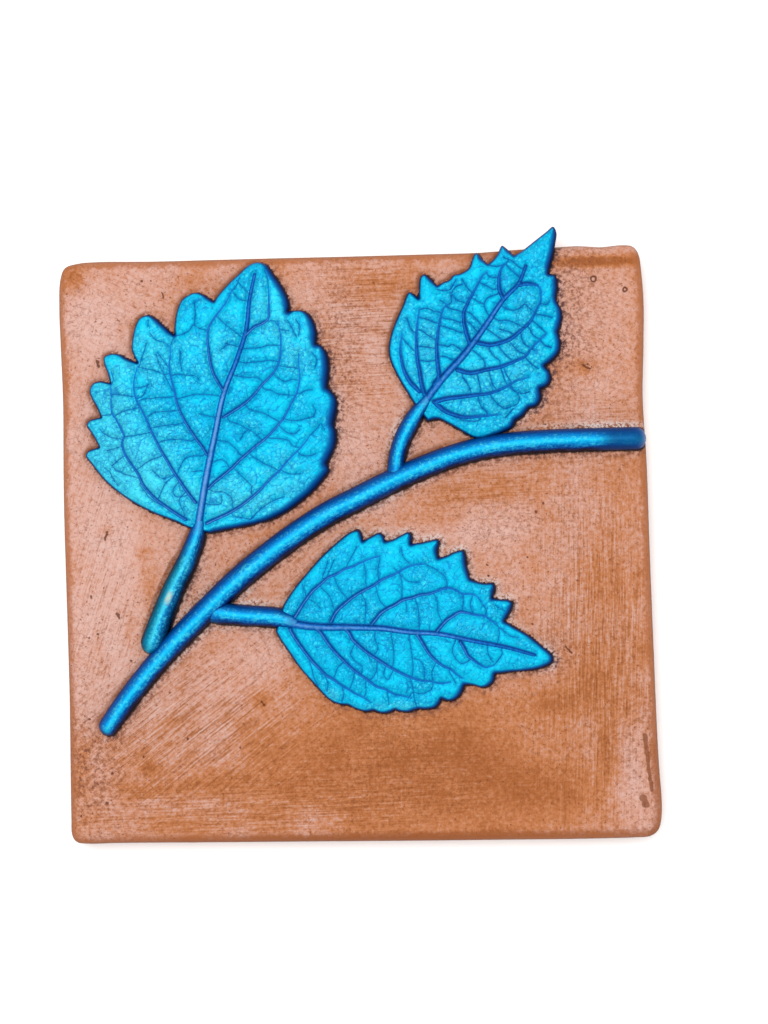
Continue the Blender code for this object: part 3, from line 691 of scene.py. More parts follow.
def round_strip(name, points, height):
    """A half-round strip along a centre line, with round ends, pressed onto the face."""
    line = soft_curve(points, STEM_SPACING)
    ahead = np.gradient(line[:, :2], axis=0)
    ahead = ahead / np.linalg.norm(ahead, axis=1)[:, None]
    length = STEM_SPACING * (len(line) - 1)
    stations = [(spot[:2], way, spot[2], 1.0, index * STEM_SPACING)
                for index, (spot, way) in enumerate(zip(line, ahead))]
    first, last = stations[0], stations[-1]
    for turn in END_TURNS:
        reach, size = math.sin(math.radians(turn)), math.cos(math.radians(turn))
        stations.insert(0, (first[0] - first[1] * first[2] * reach, first[1], first[2], size, 0.0))
        stations.append((last[0] + last[1] * last[2] * reach, last[1], last[2], size, length))
    bm = bmesh.new()
    names = ("across", "up", "end", "run", "share")
    layers = [bm.verts.layers.float.new(layer_name) for layer_name in names]
    rings = []
    for spot, way, half, size, run in stations:
        across = np.array((-way[1], way[0]))
        ring = bmesh.ops.create_circle(bm, cap_ends=False, segments=STEM_SIDES, radius=1.0)["verts"]
        for vert in ring:
            aside, up = vert.co.x, vert.co.y
            x, y = spot + across * aside * half * size
            dent = STEM_DENTS * noise.noise(Vector((x, y, up * 2.0)) * 0.7)
            foot = face_level(mm(float(spot[0])))
            sunk = min(half / FULL_STALK, 1.0) ** 0.7
            swelled = height * size * abs(up) ** STEM_FULLNESS * sunk + mm(dent) * max(up, 0.0)
            vert.co = (mm(x), mm(y), foot + (swelled if up > 0.0 else STEM_ROOT * up))
            values = (aside * size, up * size, 1.0 - size, run, run / length)
            for layer, value in zip(layers, values):
                vert[layer] = value
        rings.append(list(ring))
    skin(bm, rings)
    for face in bm.faces:
        face.smooth = True
    return object_from(bm, name)


# Clay body

def slab_blank():
    """The plain tile: its outline drawn in a little at the back and rounded over at the face."""
    profile = [(BACK_ARRIS, 0.0), (0.0, BACK_ARRIS)]
    for step in range(ARRIS_STEPS + 1):
        turn = 0.5 * math.pi * step / ARRIS_STEPS
        profile.append((ARRIS_RADIUS * (1.0 - math.cos(turn)),
                        TILE_THICKNESS - ARRIS_RADIUS * (1.0 - math.sin(turn))))
    outline = soft_curve(SLAB_EDGE + SLAB_EDGE[:1], 1.0)[:-1]
    half_side = mm(max(x for x, _ in SLAB_EDGE))
    bm = bmesh.new()
    rings = []
    for inset, level in profile:
        drawn_in = 1.0 - inset / half_side
        corners = [bm.verts.new((mm(x) * drawn_in, mm(y) * drawn_in, level)) for x, y in outline]
        for one, two in zip(corners, corners[1:] + corners[:1]):
            bm.edges.new((one, two))
        rings.append(corners)
    skin(bm, rings)
    return object_from(bm, "tile_slab")


# Where the pale wash is thick (+) or rubbed off (-), in points of the photograph:
# middle, reach across and up, share
BLOOM = [
    (105, 560, 48, 190, 0.36), (110, 330, 60, 70, 0.2), (180, 690, 90, 60, 0.22),
    (250, 690, 60, 30, 0.1), (400, 762, 150, 76, -0.8), (470, 500, 110, 34, -0.05),
    (500, 490, 46, 15, -0.3), (390, 282, 45, 18, -0.28), (360, 400, 40, 60, 0.14),
    (590, 300, 50, 46, 0.12), (630, 770, 25, 70, 0.2), (560, 640, 60, 70, -0.06),
    (170, 826, 90, 12, -0.25), (190, 786, 92, 9, -0.3), (240, 774, 16, 8, -0.35),
    (150, 768, 10, 7, -0.45), (140, 793, 17, 7, -0.4), (259, 698, 13, 9, -0.4),
    (98, 645, 4, 17, -0.35), (130, 625, 6, 15, -0.3), (215, 648, 10, 7, -0.25),
    (170, 722, 12, 7, -0.25), (84, 765, 9, 34, -0.3), (150, 596, 8, 40, -0.35),
    (340, 530, 80, 12, -0.1), (420, 535, 90, 10, 0.25), (107, 532, 8, 7, -0.5), (143, 551, 9, 6, -0.3),
    (582, 366, 13, 9, -0.45), (632, 775, 11, 50, 0.35), (608, 748, 9, 36, -0.5),
    (590, 745, 8, 30, 0.2), (610, 690, 50, 80, -0.18), (600, 540, 60, 90, -0.1),
    (552, 702, 34, 12, -0.4), (540, 790, 90, 40, -0.35), (80, 285, 12, 14, -0.3),
    (128, 325, 10, 8, -0.3), (205, 285, 30, 8, -0.1), (90, 330, 20, 40, 0.2),
    (130, 800, 90, 40, -0.1), (610, 790, 14, 16, 0.3), (410, 560, 120, 60, 0.1),
    (598, 261, 42, 4.5, -1.7), (72, 276, 11, 12, -0.7), (96, 775, 20, 40, 0.15),
    (618, 640, 40, 110, -0.16), (365, 330, 50, 60, 0.1), (110, 560, 40, 60, 0.1),
    (140, 750, 90, 60, -0.17),
]
# Stretches of the tile's edge that are darker, the bottom most of all, or (under 0) that keep their
# wash, as above
DARKER_EDGE = [
    (380, 838, 340, 9, 1.0), (655, 790, 9, 60, 0.6), (66, 690, 8, 60, 0.3), (600, 249, 42, 6, -1.4),
]
# Dirt on the clay, as above
DIRTY = [
    (570, 285, 26, 40, 1.0), (564, 350, 22, 40, 1.0), (538, 410, 26, 20, 0.8), (340, 330, 18, 70, 0.7),
    (88, 765, 22, 50, 0.8), (545, 450, 60, 12, 0.5), (200, 600, 20, 40, 0.5), (560, 655, 12, 20, 0.8),
    (75, 330, 10, 60, 0.2), (500, 525, 60, 30, 0.3), (300, 590, 16, 20, 0.5), (270, 632, 18, 10, 0.5),
    (105, 780, 40, 50, 0.4), (635, 745, 22, 70, 0.4), (345, 400, 14, 80, 0.3),
]
# Brush strokes: their slope in degrees, then where they lie, as above
STROKES = {
    "slanting": (37, [(185, 725, 120, 75, 1.0), (300, 560, 60, 30, 0.4)]),
    "across": (1, [(230, 812, 200, 30, 0.7), (410, 760, 130, 60, 0.35), (365, 330, 60, 90, 0.8),
                   (480, 490, 110, 40, 0.5), (600, 420, 50, 30, 0.6)]),
    "upright": (88, [(600, 640, 70, 190, 0.8), (400, 770, 70, 60, 0.15)]),
    "climbing": (72, [(105, 600, 42, 150, 0.55), (100, 400, 30, 100, 0.25)]),
    "swirling": (-25, [(130, 300, 90, 60, 0.3), (600, 320, 50, 80, 0.3),
                       (360, 420, 40, 60, 0.3)]),
}
# Where the blue has been brushed paler, as above
PALE_PATCHES = [
    (130, 470, 50, 45, 0.8), (225, 500, 60, 26, 0.5), (285, 470, 30, 40, 0.25), (150, 350, 40, 40, 0.4),
    (300, 350, 26, 40, 0.3), (270, 310, 26, 40, 0.4), (110, 400, 22, 40, 0.5), (220, 345, 20, 40, 0.3),
    (415, 350, 26, 50, 0.2), (480, 380, 60, 34, 0.2), (515, 330, 30, 40, 0.15),
    (332, 694, 9, 7, 0.45), (395, 706, 40, 6, 0.4), (480, 650, 50, 30, 0.1), (475, 345, 80, 80, 0.13),
]
# Where white wash is caught along the sprig's edge, as above
CHALKY = [
    (430, 545, 90, 22, 1.0), (500, 600, 30, 40, 1.0), (610, 424, 36, 8, 1.4), (390, 500, 40, 20, 0.8),
    (200, 640, 50, 60, 0.7), (545, 420, 25, 25, 0.6), (395, 430, 12, 40, 0.7), (255, 598, 30, 10, 0.9),
    (550, 655, 14, 20, 0.8), (345, 430, 14, 60, 0.3),
]


def ellipse(spots, x, y, across, up):
    """1 at a point of the photograph, fading over its reach across and up."""
    middle = on_face([(x, y)])[0]
    across, up = across * PICTURE_POINT, up * PICTURE_POINT
    return np.exp(-((spots[:, 0] - middle[0]) / across) ** 2
                  - ((spots[:, 1] - middle[1]) / up) ** 2)


def patches(spots, places):
    return sum(share * ellipse(spots, *spot) for *spot, share in places)


def within(edge, spots):
    """Which places lie inside an outline."""
    inside = np.zeros(len(spots), bool)
    x, y = spots[:, 0], spots[:, 1]
    for (x1, y1), (x2, y2) in zip(edge, np.roll(edge, -1, axis=0)):
        if y1 != y2:
            crosses = (y1 > y) != (y2 > y)
            inside ^= crosses & (x < between(x1, x2, y1, y2, y))
    return inside


def from_sprig(spots):
    """How far each place is from the sprig (less than 0 under it), and on which side of it."""
    away = np.full(len(spots), FAR_OFF)
    offset = np.zeros((len(spots), 2))
    for leaf in LEAVES.values():
        edge = leaf_edge(leaf["lobes"], SPRIG_STEP)
        at, distance = nearest(edge, spots)
        signs = np.where(within(edge, spots), -1.0, 1.0)
        closer = distance * signs < away
        away[closer] = (distance * signs)[closer]
        offset[closer] = ((spots[:, :2] - edge[at]) * signs[:, None])[closer]
    for line in [MAIN_STEM, *STALKS.values()]:
        line = soft_curve(line, SPRIG_STEP)
        at, distance = nearest(line, spots)
        distance -= line[at, 2]
        closer = distance < away
        away[closer] = distance[closer]
        offset[closer] = (spots[:, :2] - line[at, :2])[closer]
    length = np.linalg.norm(offset, axis=1) + 0.01
    return away, offset @ np.array(FOOT_SHADE) / length


def tile_form():
    """The clay body with its uneven face, and on its points where each mark of its finish lies."""
    item = slab_blank()
    even_out(item, TILE_GRAIN)
    spots = places_of(item.data)
    away, lee = from_sprig(spots)
    away[spots[:, 2] < SPRIG_MARKS_FOOT] = NO_SPRIG
    _, inward = nearest(soft_curve(SLAB_EDGE + SLAB_EDGE[:1], 0.5), spots)
    front = climb(spots[:, 2] - FRONT_FOOT, FRONT_BLEND)
    on_top = climb(spots[:, 2] - ROLLS_FOOT, ROLLS_BLEND)
    rolls = sum(share * unevenness(spots, scale, seed) for scale, seed, share in CLAY_ROLLS)
    spots[:, 2] += on_top * ROLLS_HEIGHT * rolls
    place(item.data, spots)
    strokes = {name: np.clip(patches(spots, places), 0.0, 1.0) * front
               for name, (_, places) in STROKES.items()}
    mark(item.data, away=away, lee=lee, inward=inward, front=front, bloom=patches(spots, BLOOM),
         chalky=patches(spots, CHALKY), burnt=patches(spots, DARKER_EDGE), dirty=patches(spots, DIRTY),
         **strokes)
    return item


# Finishes

def paint(red, green, blue):
    """A colour as read off the photograph, 0 to 255, for a shader's socket."""
    def linear(value):
        value = value / 255.0
        return value / 12.92 if value <= 0.04045 else ((value + 0.055) / 1.055) ** 2.4
    return (*(linear(value) / STUDIO_LIGHT for value in (red, green, blue)), 1.0)


class Wire:
    """A socket of a finish, with arithmetic that adds Math nodes."""

    def __init__(self, finish, socket):
        self.finish = finish
        self.socket = socket

    def __add__(self, other):
        return self.finish.maths("ADD", self, other)

    __radd__ = __add__

    def __sub__(self, other):
        return self.finish.maths("SUBTRACT", self, other)

    def __rsub__(self, other):
        return self.finish.maths("SUBTRACT", other, self)

    def __mul__(self, other):
        return self.finish.maths("MULTIPLY", self, other)

    __rmul__ = __mul__

    def __truediv__(self, other):
        return self.finish.maths("DIVIDE", self, other)


class Finish:
    """A material that is put together node by node, coat by coat."""

    def __init__(self, name):
        self.material = bpy.data.materials.new(name)
        self.material.use_nodes = True
        self.tree = self.material.node_tree
        self.shader = self.tree.nodes["Principled BSDF"]
        self.place = self.node("TexCoord", output="Object")
        self.colour = None

    def node(self, kind, settings=None, inputs=None, output=0):
        """A node of a kind, its settings made first, then its sockets' values or links."""
        made = self.tree.nodes.new("ShaderNode" + kind)
        for name, value in (settings or {}).items():
            if name == "stops":
                self.set_stops(made.color_ramp, value)
            else:
                setattr(made, name, value)
        for name, value in (inputs or {}).items():
            self.feed(value, made.inputs[name])
        return Wire(self, made.outputs[output])

    def set_stops(self, ramp, stops):
        while len(ramp.elements) < len(stops):
            ramp.elements.new(0.5)
        for element, (position, colour) in zip(ramp.elements, stops):
            element.position = position
            element.color = colour

    def feed(self, value, socket):
        if isinstance(value, Wire):
            self.tree.links.new(value.socket, socket)
        else:
            socket.default_value = value

    def maths(self, operation, *values):
        return self.node("Math", {"operation": operation}, dict(enumerate(values)))

    def vector(self, operation, *values, output=0):
        return self.node("VectorMath", {"operation": operation}, dict(enumerate(values)), output)

    def kept(self, *names):
        """Values that the mesh keeps on its points."""
        return [self.node("Attribute", {"attribute_name": name}, output="Fac") for name in names]

    def ramp(self, value, low, high, top=1.0):
        """0 under low, top over high, and soft in between."""
        return self.node("MapRange", {"interpolation_type": "SMOOTHSTEP"},
                         {"Value": value, "From Min": low, "From Max": high, "To Max": top})

    def speckle(self, scale, detail, rough, place=None):
        return self.node("TexNoise", None,
                         {"Vector": place or self.place, "Scale": scale, "Detail": detail,
                          "Roughness": rough}, output="Fac")

    def stretched(self, place, *sizes):
        return self.node("Mapping", {"vector_type": "POINT"}, {"Vector": place, "Scale": sizes})

    def streaks(self, degrees, along, across):
        """Fine streaks that run at an angle to the tile's lower edge."""
        turned = self.node("Mapping", {"vector_type": "POINT"},
                           {"Vector": self.place, "Rotation": (0.0, 0.0, -math.radians(degrees))})
        return self.speckle(1.0, 4.0, 0.65, self.stretched(turned, along, across, across))

    def moved(self, scale, reach):
        """The place, pushed about by a coarse unevenness."""
        push = self.node("TexNoise", None, {"Vector": self.place, "Scale": scale, "Detail": 2.0},
                         output="Color")
        return self.vector("MULTIPLY_ADD", push, (reach, reach, reach), self.place)

    def cracks(self, scale, width, reach):
        """1 along the lines of an uneven net."""
        edge = self.node("TexVoronoi", {"feature": "DISTANCE_TO_EDGE"},
                         {"Vector": self.moved(scale * 1.6, reach), "Scale": scale},
                         output="Distance")
        return 1.0 - self.ramp(edge, 0.0, width)

    def flat_place(self):
        """The place on the face, moved about a little so that marks get uneven rims."""
        return self.vector("MULTIPLY", self.moved(700.0, mm(PIT_SHIFT)), (1.0, 1.0, 0.0))

    def spot(self, x, y):
        """Where a point of the photograph lies for flat_place()."""
        x, y = on_face([(x, y)])[0]
        return Vector((mm(x + 0.5 * PIT_SHIFT), mm(y + 0.5 * PIT_SHIFT), 0.0))

    def deepest(self, *depths):
        """The greatest of several values, or 0."""
        deepest = 0.0
        for depth in depths:
            deepest = self.maths("MAXIMUM", deepest, depth)
        return deepest

    def dots(self, places, hollow=0.0):
        """1 in the middle of each of the places, or along a ring round it, 0 at its reach."""
        flat = self.flat_place()
        depths = []
        for x, y, reach in places:
            away = self.vector("DISTANCE", flat, self.spot(x, y), output="Value")
            reach = mm(reach * PICTURE_POINT)
            if hollow:
                away = self.maths("ABSOLUTE", away - hollow * reach)
                reach = (1.0 - hollow) * reach
            depths.append(1.0 - away / reach)
        return self.deepest(*depths)

    def scrapes(self, lines):
        """1 along each line from one point of the photograph to another, 0 at its reach."""
        flat = self.flat_place()
        depths = []
        for start, end, reach in lines:
            start, way = self.spot(*start), self.spot(*end) - self.spot(*start)
            offset = self.vector("SUBTRACT", flat, start)
            share = self.vector("DOT_PRODUCT", offset, way / way.length_squared, output="Value")
            share = self.node("Clamp", None, {"Value": share})
            foot = self.node("VectorMath", {"operation": "SCALE"}, {0: way, "Scale": share})
            away = self.vector("DISTANCE", offset, foot, output="Value")
            depths.append(1.0 - away / mm(reach * PICTURE_POINT))
        return self.deepest(*depths)

    def shades(self, value, stops):
        """The colour at a value from 0 to 1 between named stops."""
        return self.node("ValToRGB", {"stops": stops}, {"Fac": value})

    def mix(self, one, two, share):
        return self.node("Mix", {"data_type": "RGBA", "clamp_factor": True},
                         {"Factor": share, 6: one, 7: two}, output=2)

    def lay(self, coat, share):
        """A coat over the colour that is there, as thick as its share."""
        self.colour = self.mix(self.colour, coat, share)

    def bump(self, height, distance, strength):
        return self.node("Bump", None,
                         {"Height": height, "Distance": distance, "Strength": strength})

    def done(self, **inputs):
        """The material, with its colour and these inputs of its shader."""
        for name, value in dict(inputs, Base_Color=self.colour).items():
            self.feed(value, self.shader.inputs[name.replace("_", " ")])
        return self.material


SKY = paint(0, 212, 250)
PALE_SKY = paint(80, 236, 252)
AZURE = paint(6, 186, 236)
MID_BLUE = paint(0, 122, 200)
DEEP_BLUE = paint(0, 74, 156)
NAVY = paint(0, 34, 88)
INK = paint(2, 10, 28)
FINE_BLUE = paint(0, 88, 172)
VEIN_BLUE = paint(8, 118, 212)
STEM_BLUE = paint(0, 118, 206)
END_SHADE_BLUE = paint(0, 72, 142)
LILAC = paint(116, 174, 230)
RUBBED_TEAL = paint(190, 206, 186)
RUBBED_SPOT = (169, 597, 9.0)           # point of the photograph and reach
PEARL = dict(Specular_IOR_Level=0.06, Metallic=0.25)
PEARL_GRAIN = 0.00011                   # depth of the paint's hammered grain


def hammered_and_clouds(finish):
    """The fine grain of the blue paint, and its soft unevenness."""
    return finish.speckle(1200.0, 5.0, 0.75), finish.speckle(110.0, 4.0, 0.65)


def pearl_blue_leaf():
    finish = Finish("pearl_blue_leaf")
    hammered, clouds = hammered_and_clouds(finish)
    hollow, fine, net, rim, crest, pillow, pale = finish.kept(
        "hollow", "fine", "net", "rim", "crest", "pillow", "pale")
    crazed = finish.cracks(520.0, 0.055, 0.0022) * finish.ramp(clouds, 0.4, 0.6)
    grained = finish.cracks(880.0, 0.38, 0.0014)
    # Painted light: each pillow between the veins lighter towards its middle, over the paint's grain
    # and clouds
    lit = hammered * 0.55 + clouds * 0.45 + (pillow - 0.6) * 0.2
    finish.colour = finish.mix(AZURE, SKY, finish.ramp(lit, 0.28, 0.5))
    # Paler paint in brushed patches and on the grain, with a little painted highlight on the pillows'
    # middles
    paled = hammered * 0.45 + clouds * 0.3 + pale * 0.3 + pillow * 0.06 - grained * 0.07
    finish.lay(PALE_SKY, finish.ramp(paled, 0.37, 0.57, 0.85))
    finish.lay(MID_BLUE, grained * finish.ramp(clouds, 0.32, 0.56, 0.45))
    finish.lay(DEEP_BLUE, crazed * 0.5)
    crest = crest + (hammered - 0.5) * 0.9
    rim = rim + (clouds - 0.5) * 0.3 * finish.ramp(rim, 0.0, 0.4)
    # Painted shade: darker blue in the grooves of the net and fine veins, in the hollows beside the
    # veins, and on the rim's rounding, widest on the far side from the light and ink-dark at its foot;
    # painted highlight: lighter blue and lilac on the crests
    coats = [(MID_BLUE, net, 0.2, 1.0, 0.7), (FINE_BLUE, fine, 0.25, 0.9, 0.85),
             (MID_BLUE, hollow, 0.04, 0.5, 0.7), (DEEP_BLUE, hollow, 0.28, 0.8, 0.97),
             (NAVY, hollow, 0.6, 1.0, 0.3), (VEIN_BLUE, crest, 0.1, 0.4, 0.8),
             (LILAC, crest, 0.35, 0.9, 0.75), (MID_BLUE, rim, 0.08, 0.42, 0.85),
             (DEEP_BLUE, rim, 0.28, 0.62, 0.95), (NAVY, rim, 0.54, 0.8, 1.0),
             (INK, rim, 0.82, 0.98, 1.0)]
    for coat, value, low, high, share in coats:
        finish.lay(coat, finish.ramp(value, low, high, share))
    return finish.done(Roughness=finish.ramp(hammered, 0.3, 0.7, 0.15) + 0.38,
                       Normal=finish.bump(hammered - crazed * 0.25, PEARL_GRAIN, 0.9), **PEARL)


# Painted light and shade across a half-round strip, from its right-hand edge (0) to its left-hand edge
# (1): dark at its foot on both sides, brightest just right of its crown
BLUE_SHADING_ACROSS = [(0.0, INK), (0.07, NAVY), (0.18, paint(0, 80, 168)), (0.31, paint(0, 154, 232)),
               (0.45, paint(10, 202, 252)), (0.58, paint(0, 164, 236)), (0.73, paint(0, 108, 200)),
               (0.9, paint(0, 80, 160)), (1.0, paint(0, 56, 124))]
TEAL_SHADING_ACROSS = [(0.0, INK), (0.1, paint(0, 54, 96)), (0.28, paint(0, 104, 172)),
               (0.44, paint(10, 150, 208)), (0.56, paint(60, 204, 232)), (0.7, paint(0, 140, 186)),
               (0.88, paint(0, 96, 126)), (1.0, paint(0, 56, 84))]


def pearl_blue_strip(name, near_start=None, shaded_ends=False, into_leaf=False, from_stem=False):
    """The same paint on a strip, with painted light and shade across it; near its start it may be worn
    to another hue.
    """
    finish = Finish(name)
    hammered, clouds = hammered_and_clouds(finish)
    across, up, end, run, share = finish.kept("across", "up", "end", "run", "share")
    lengthwise = finish.node("CombineXYZ", None, {"X": run * 0.16, "Y": across * 4.0, "Z": up * 4.0})
    streaky = finish.speckle(1.0, 4.0, 0.65, lengthwise)
    turned = across * 0.5 + 0.5 + (clouds - 0.5) * 0.16 + (streaky - 0.5) * 0.3
    turned = turned + (hammered - 0.5) * 0.34
    # Painted light and shade across the round strip
    finish.colour = finish.shades(turned, BLUE_SHADING_ACROSS)
    if near_start:
        worn = 1.0 - finish.ramp(share + (clouds - 0.5) * 0.5, 0.5, 0.9)
        finish.lay(finish.shades(turned, near_start), worn)
        off_crown = finish.maths("ABSOLUTE", across - 0.05)
        rubbed = finish.dots([RUBBED_SPOT]) * (1.0 - finish.ramp(off_crown, 0.1, 0.42))
        finish.lay(RUBBED_TEAL, rubbed * streaky * 2.2)
    # Painted highlight: pale glints along the crown
    glints = finish.ramp(hammered * 0.75 + streaky * 0.25, 0.48, 0.61)
    finish.lay(PALE_SKY, glints * finish.ramp(up, 0.72, 0.98, 0.65))
    # Painted shade: the rounded ends, and the stretch where the stem runs out over the arris, darker
    if shaded_ends:
        end_shade = finish.deepest(finish.ramp(end, 0.02, 0.4), finish.ramp(share, 0.93, 0.965))
        finish.lay(END_SHADE_BLUE, end_shade * 0.85)
    # Painted shade: ink-dark along the strip's foot, less on its left side, none where it grows from
    # the stem or runs into a leaf
    side_dark = 1.0 - finish.ramp(up, 0.02, 0.24)
    side_dark = side_dark * (1.0 - finish.ramp(across, 0.3, 0.8, 0.6))
    if from_stem:
        grown = 1.0 - finish.ramp(share, 0.05, 0.22)
        finish.lay(STEM_BLUE, grown * 0.6)
        side_dark = side_dark * (1.0 - grown)
    if into_leaf:
        # Running into a leaf it takes the rib's blue, with the rib's painted highlight along its crown
        merged = finish.ramp(share, 0.8, 0.97)
        finish.lay(VEIN_BLUE, merged * 0.5)
        finish.lay(LILAC, merged * finish.ramp(up, 0.8, 1.0, 0.4))
        side_dark = side_dark * (1.0 - merged)
    finish.lay(INK, side_dark)
    return finish.done(Roughness=0.42, Normal=finish.bump(hammered, PEARL_GRAIN, 0.8), **PEARL)


BARE_CLAY = paint(178, 100, 46)
ORANGE_WASH = paint(210, 131, 80)
CHALK = paint(236, 184, 168)
WHITE_CHALK = paint(246, 224, 218)
DARK_CLAY = paint(132, 70, 40)
EDGE_CLAY = paint(190, 112, 62)
DARKER_EDGE_CLAY = paint(158, 84, 38)
OUTLINE_SHADE = paint(120, 86, 70)
OCHRE = paint(142, 76, 34)
DIRT_AND_SHADOW = paint(104, 66, 66)
PIT_BROWN = paint(104, 50, 26)
FOOT_SHADOW = paint(38, 20, 18)
CLAY_SHEEN = 0.15
CLAY_RELIEF = 0.0004                    # depth of strokes, cracks and pits
FLOOR_GREY = (0.93, 0.93, 0.93, 1.0)
FLOOR_WHITE = (0.95, 0.95, 0.95, 1.0)

# Pits in the clay, in points of the photograph: middle and reach
PITS = [
    (98, 362, 2.4), (98, 366, 1.8), (142, 281, 1.5), (151, 281, 1.3), (162, 293, 1.6),
    (549, 365, 1.9), (487, 565, 1.6), (489, 576, 1.5), (497, 597, 1.3), (533, 624, 1.5),
    (527, 557, 1.3), (118, 615, 2.6), (91, 597, 1.8), (89, 638, 1.7), (98, 634, 1.7),
    (131, 661, 1.5), (90, 719, 1.7), (112, 773, 2.2), (188, 739, 2.0), (107, 803, 2.4),
    (264, 705, 2.2), (143, 757, 1.8), (543, 503, 1.7), (536, 512, 2.0), (107, 532, 2.0),
    (588, 364, 1.6), (170, 693, 1.2), (240, 748, 1.3), (81, 816, 1.7), (545, 424, 1.3),
]
# Burst bubbles, as above, which are dark round their rim only
BUBBLES = [(593.5, 279, 3.9), (625, 290, 3.4)]
BUBBLE_HOLLOW = 0.62
# Short scrapes: from, to, reach
SCRAPES = [
    ((107, 534), (105, 540), 1.6), ((583, 365), (590, 369), 1.3), ((261, 701), (264, 705), 1.2),
    ((162, 293), (163, 298), 1.2), ((566, 647), (572, 653), 1.1), ((117, 614), (119, 618), 1.9),
    ((97, 361), (99, 367), 1.7),
]
# Strips laid in ochre: painted shade beside the left stalk, unwashed clay along a rubbed edge and in a
# drop by the right edge
OCHRE_STRIPS = [
    ((174, 561), (157, 597), 5.0), ((157, 597), (146, 632), 5.0), ((645, 735), (648, 762), 2.9),
    ((648, 762), (652, 790), 2.5), ((643.5, 798), (645.5, 804), 5.0),
]


def washed_clay():
    """Orange clay under a pale wash, rubbed in strokes; plain clay on the walls and the back."""
    finish = Finish("washed_clay")
    away, lee, inward, bloom, burnt, front, chalky, dirty = finish.kept(
        "away", "lee", "inward", "bloom", "burnt", "front", "chalky", "dirty")
    speck = finish.speckle(900.0, 5.0, 0.75)
    grit = finish.speckle(1700.0, 3.0, 0.6)
    clouds = finish.speckle(60.0, 6.0, 0.7)
    strokes = 0.0
    for (degrees, _), laid in zip(STROKES.values(), finish.kept(*STROKES)):
        strokes = (finish.streaks(degrees, 110.0, 2200.0) - 0.5) * laid + strokes
    chalk = bloom + (clouds - 0.5) * 1.5 + (speck - 0.5) * 1.6 + strokes * 1.7 + 0.48
    finish.colour = finish.mix(ORANGE_WASH, CHALK, finish.ramp(chalk, 0.0, 1.0))
    finish.lay(BARE_CLAY, 1.0 - finish.ramp(chalk, -0.5, 0.25))
    finish.lay(WHITE_CHALK, finish.ramp(chalk + grit * 0.8, 1.2, 1.9, 0.35))
    crazed = finish.cracks(420.0, 0.05, 0.0022) * finish.ramp(clouds, 0.44, 0.6)
    finish.lay(DARK_CLAY, crazed * 0.3)
    # Painted shade and highlight of the brush strokes' ridges, mixed with the clay's grain: darker in
    # their low lines, paler on their edges
    grain_and_stroke_shading = speck * 0.3 + grit * 0.2 + strokes * 0.8
    finish.lay(DARK_CLAY, (1.0 - finish.ramp(grain_and_stroke_shading, 0.14, 0.26)) * 0.4)
    finish.lay(WHITE_CHALK, finish.ramp(grain_and_stroke_shading, 0.26, 0.4, 0.25))
    dashes = [finish.streaks(degrees, 420.0, 1500.0) for degrees in (55.0, -50.0)]
    dashes = finish.maths("MINIMUM", *dashes) + (clouds - 0.5) * 0.2
    finish.lay(DARK_CLAY, (1.0 - finish.ramp(dashes, 0.28, 0.35)) * 0.6)
    uneven = inward + (clouds - 0.5) * 3.2 + (speck - 0.5) * 2.6
    arris = (1.0 - finish.ramp(uneven, 0.9, 2.6)) * finish.ramp(burnt, -0.8, -0.1)
    finish.lay(EDGE_CLAY, arris * 0.8)
    # Darker along the stretches of edge listed above
    finish.lay(DARKER_EDGE_CLAY, burnt * (1.0 - finish.ramp(uneven, 2.0, 3.4)) * 0.7)

    walls = finish.speckle(1.0, 6.0, 0.7, finish.stretched(finish.place, 80.0, 80.0, 240.0))
    strokes = (finish.streaks(12.0, 60.0, 900.0) - 0.5) * (1.0 - front) * 0.6 + strokes
    side = finish.mix(BARE_CLAY, ORANGE_WASH, finish.ramp(walls + (speck - 0.5) * 0.7, 0.34, 0.62))
    dusty = clouds * 0.5 + grit * 0.5 + strokes * 0.5
    side = finish.mix(side, CHALK, finish.ramp(dusty, 0.46, 0.7, 0.55))
    side = finish.mix(side, DARK_CLAY, 1.0 - finish.ramp(speck + (walls - 0.5) * 0.4, 0.3, 0.38))
    finish.colour = finish.mix(side, finish.colour, front)
    # Painted shade: a thin grey-brown line along the tile's outline on its face
    finish.lay(OUTLINE_SHADE, (1.0 - finish.ramp(inward, 0.1, 0.75)) * front * 0.45)

    near = 1.0 - finish.ramp(away + (speck - 0.5) * 2.4, 0.7, 2.4)
    # Painted shade: an ochre band at the sprig's foot on its side towards the light
    lit_side_shade = (1.0 - finish.ramp(away, 0.3, 1.5)) * (1.0 - finish.ramp(lee, -0.6, -0.1))
    finish.lay(OCHRE, lit_side_shade * finish.ramp(clouds, 0.3, 0.55, 0.85))
    # Ochre strips: painted shade beside the left stalk, unwashed clay at the rubbed edge and the drop
    ochre_strip = finish.ramp(finish.scrapes(OCHRE_STRIPS) + (speck - 0.5) * 0.8, 0.05, 0.4, 0.8)
    finish.lay(OCHRE, ochre_strip * front)
    finish.lay(WHITE_CHALK, chalky * near * finish.ramp(grit + speck * 0.5, 0.66, 0.84))
    # Dirty patches, and painted shadow: a darker speckled halo round the sprig on its side away from
    # the light
    dirt_and_shadow = dirty * (1.0 - finish.ramp(grit * 0.35 + speck * 0.65, 0.38, 0.56)) * front
    dirt_and_shadow = dirt_and_shadow + near * finish.ramp(lee, -0.2, 0.8) * (1.0 - finish.ramp(speck, 0.42, 0.6))
    finish.lay(DIRT_AND_SHADOW, dirt_and_shadow * 0.66)
    finish.lay(DARK_CLAY, 1.0 - finish.ramp(grit, 0.27, 0.38))
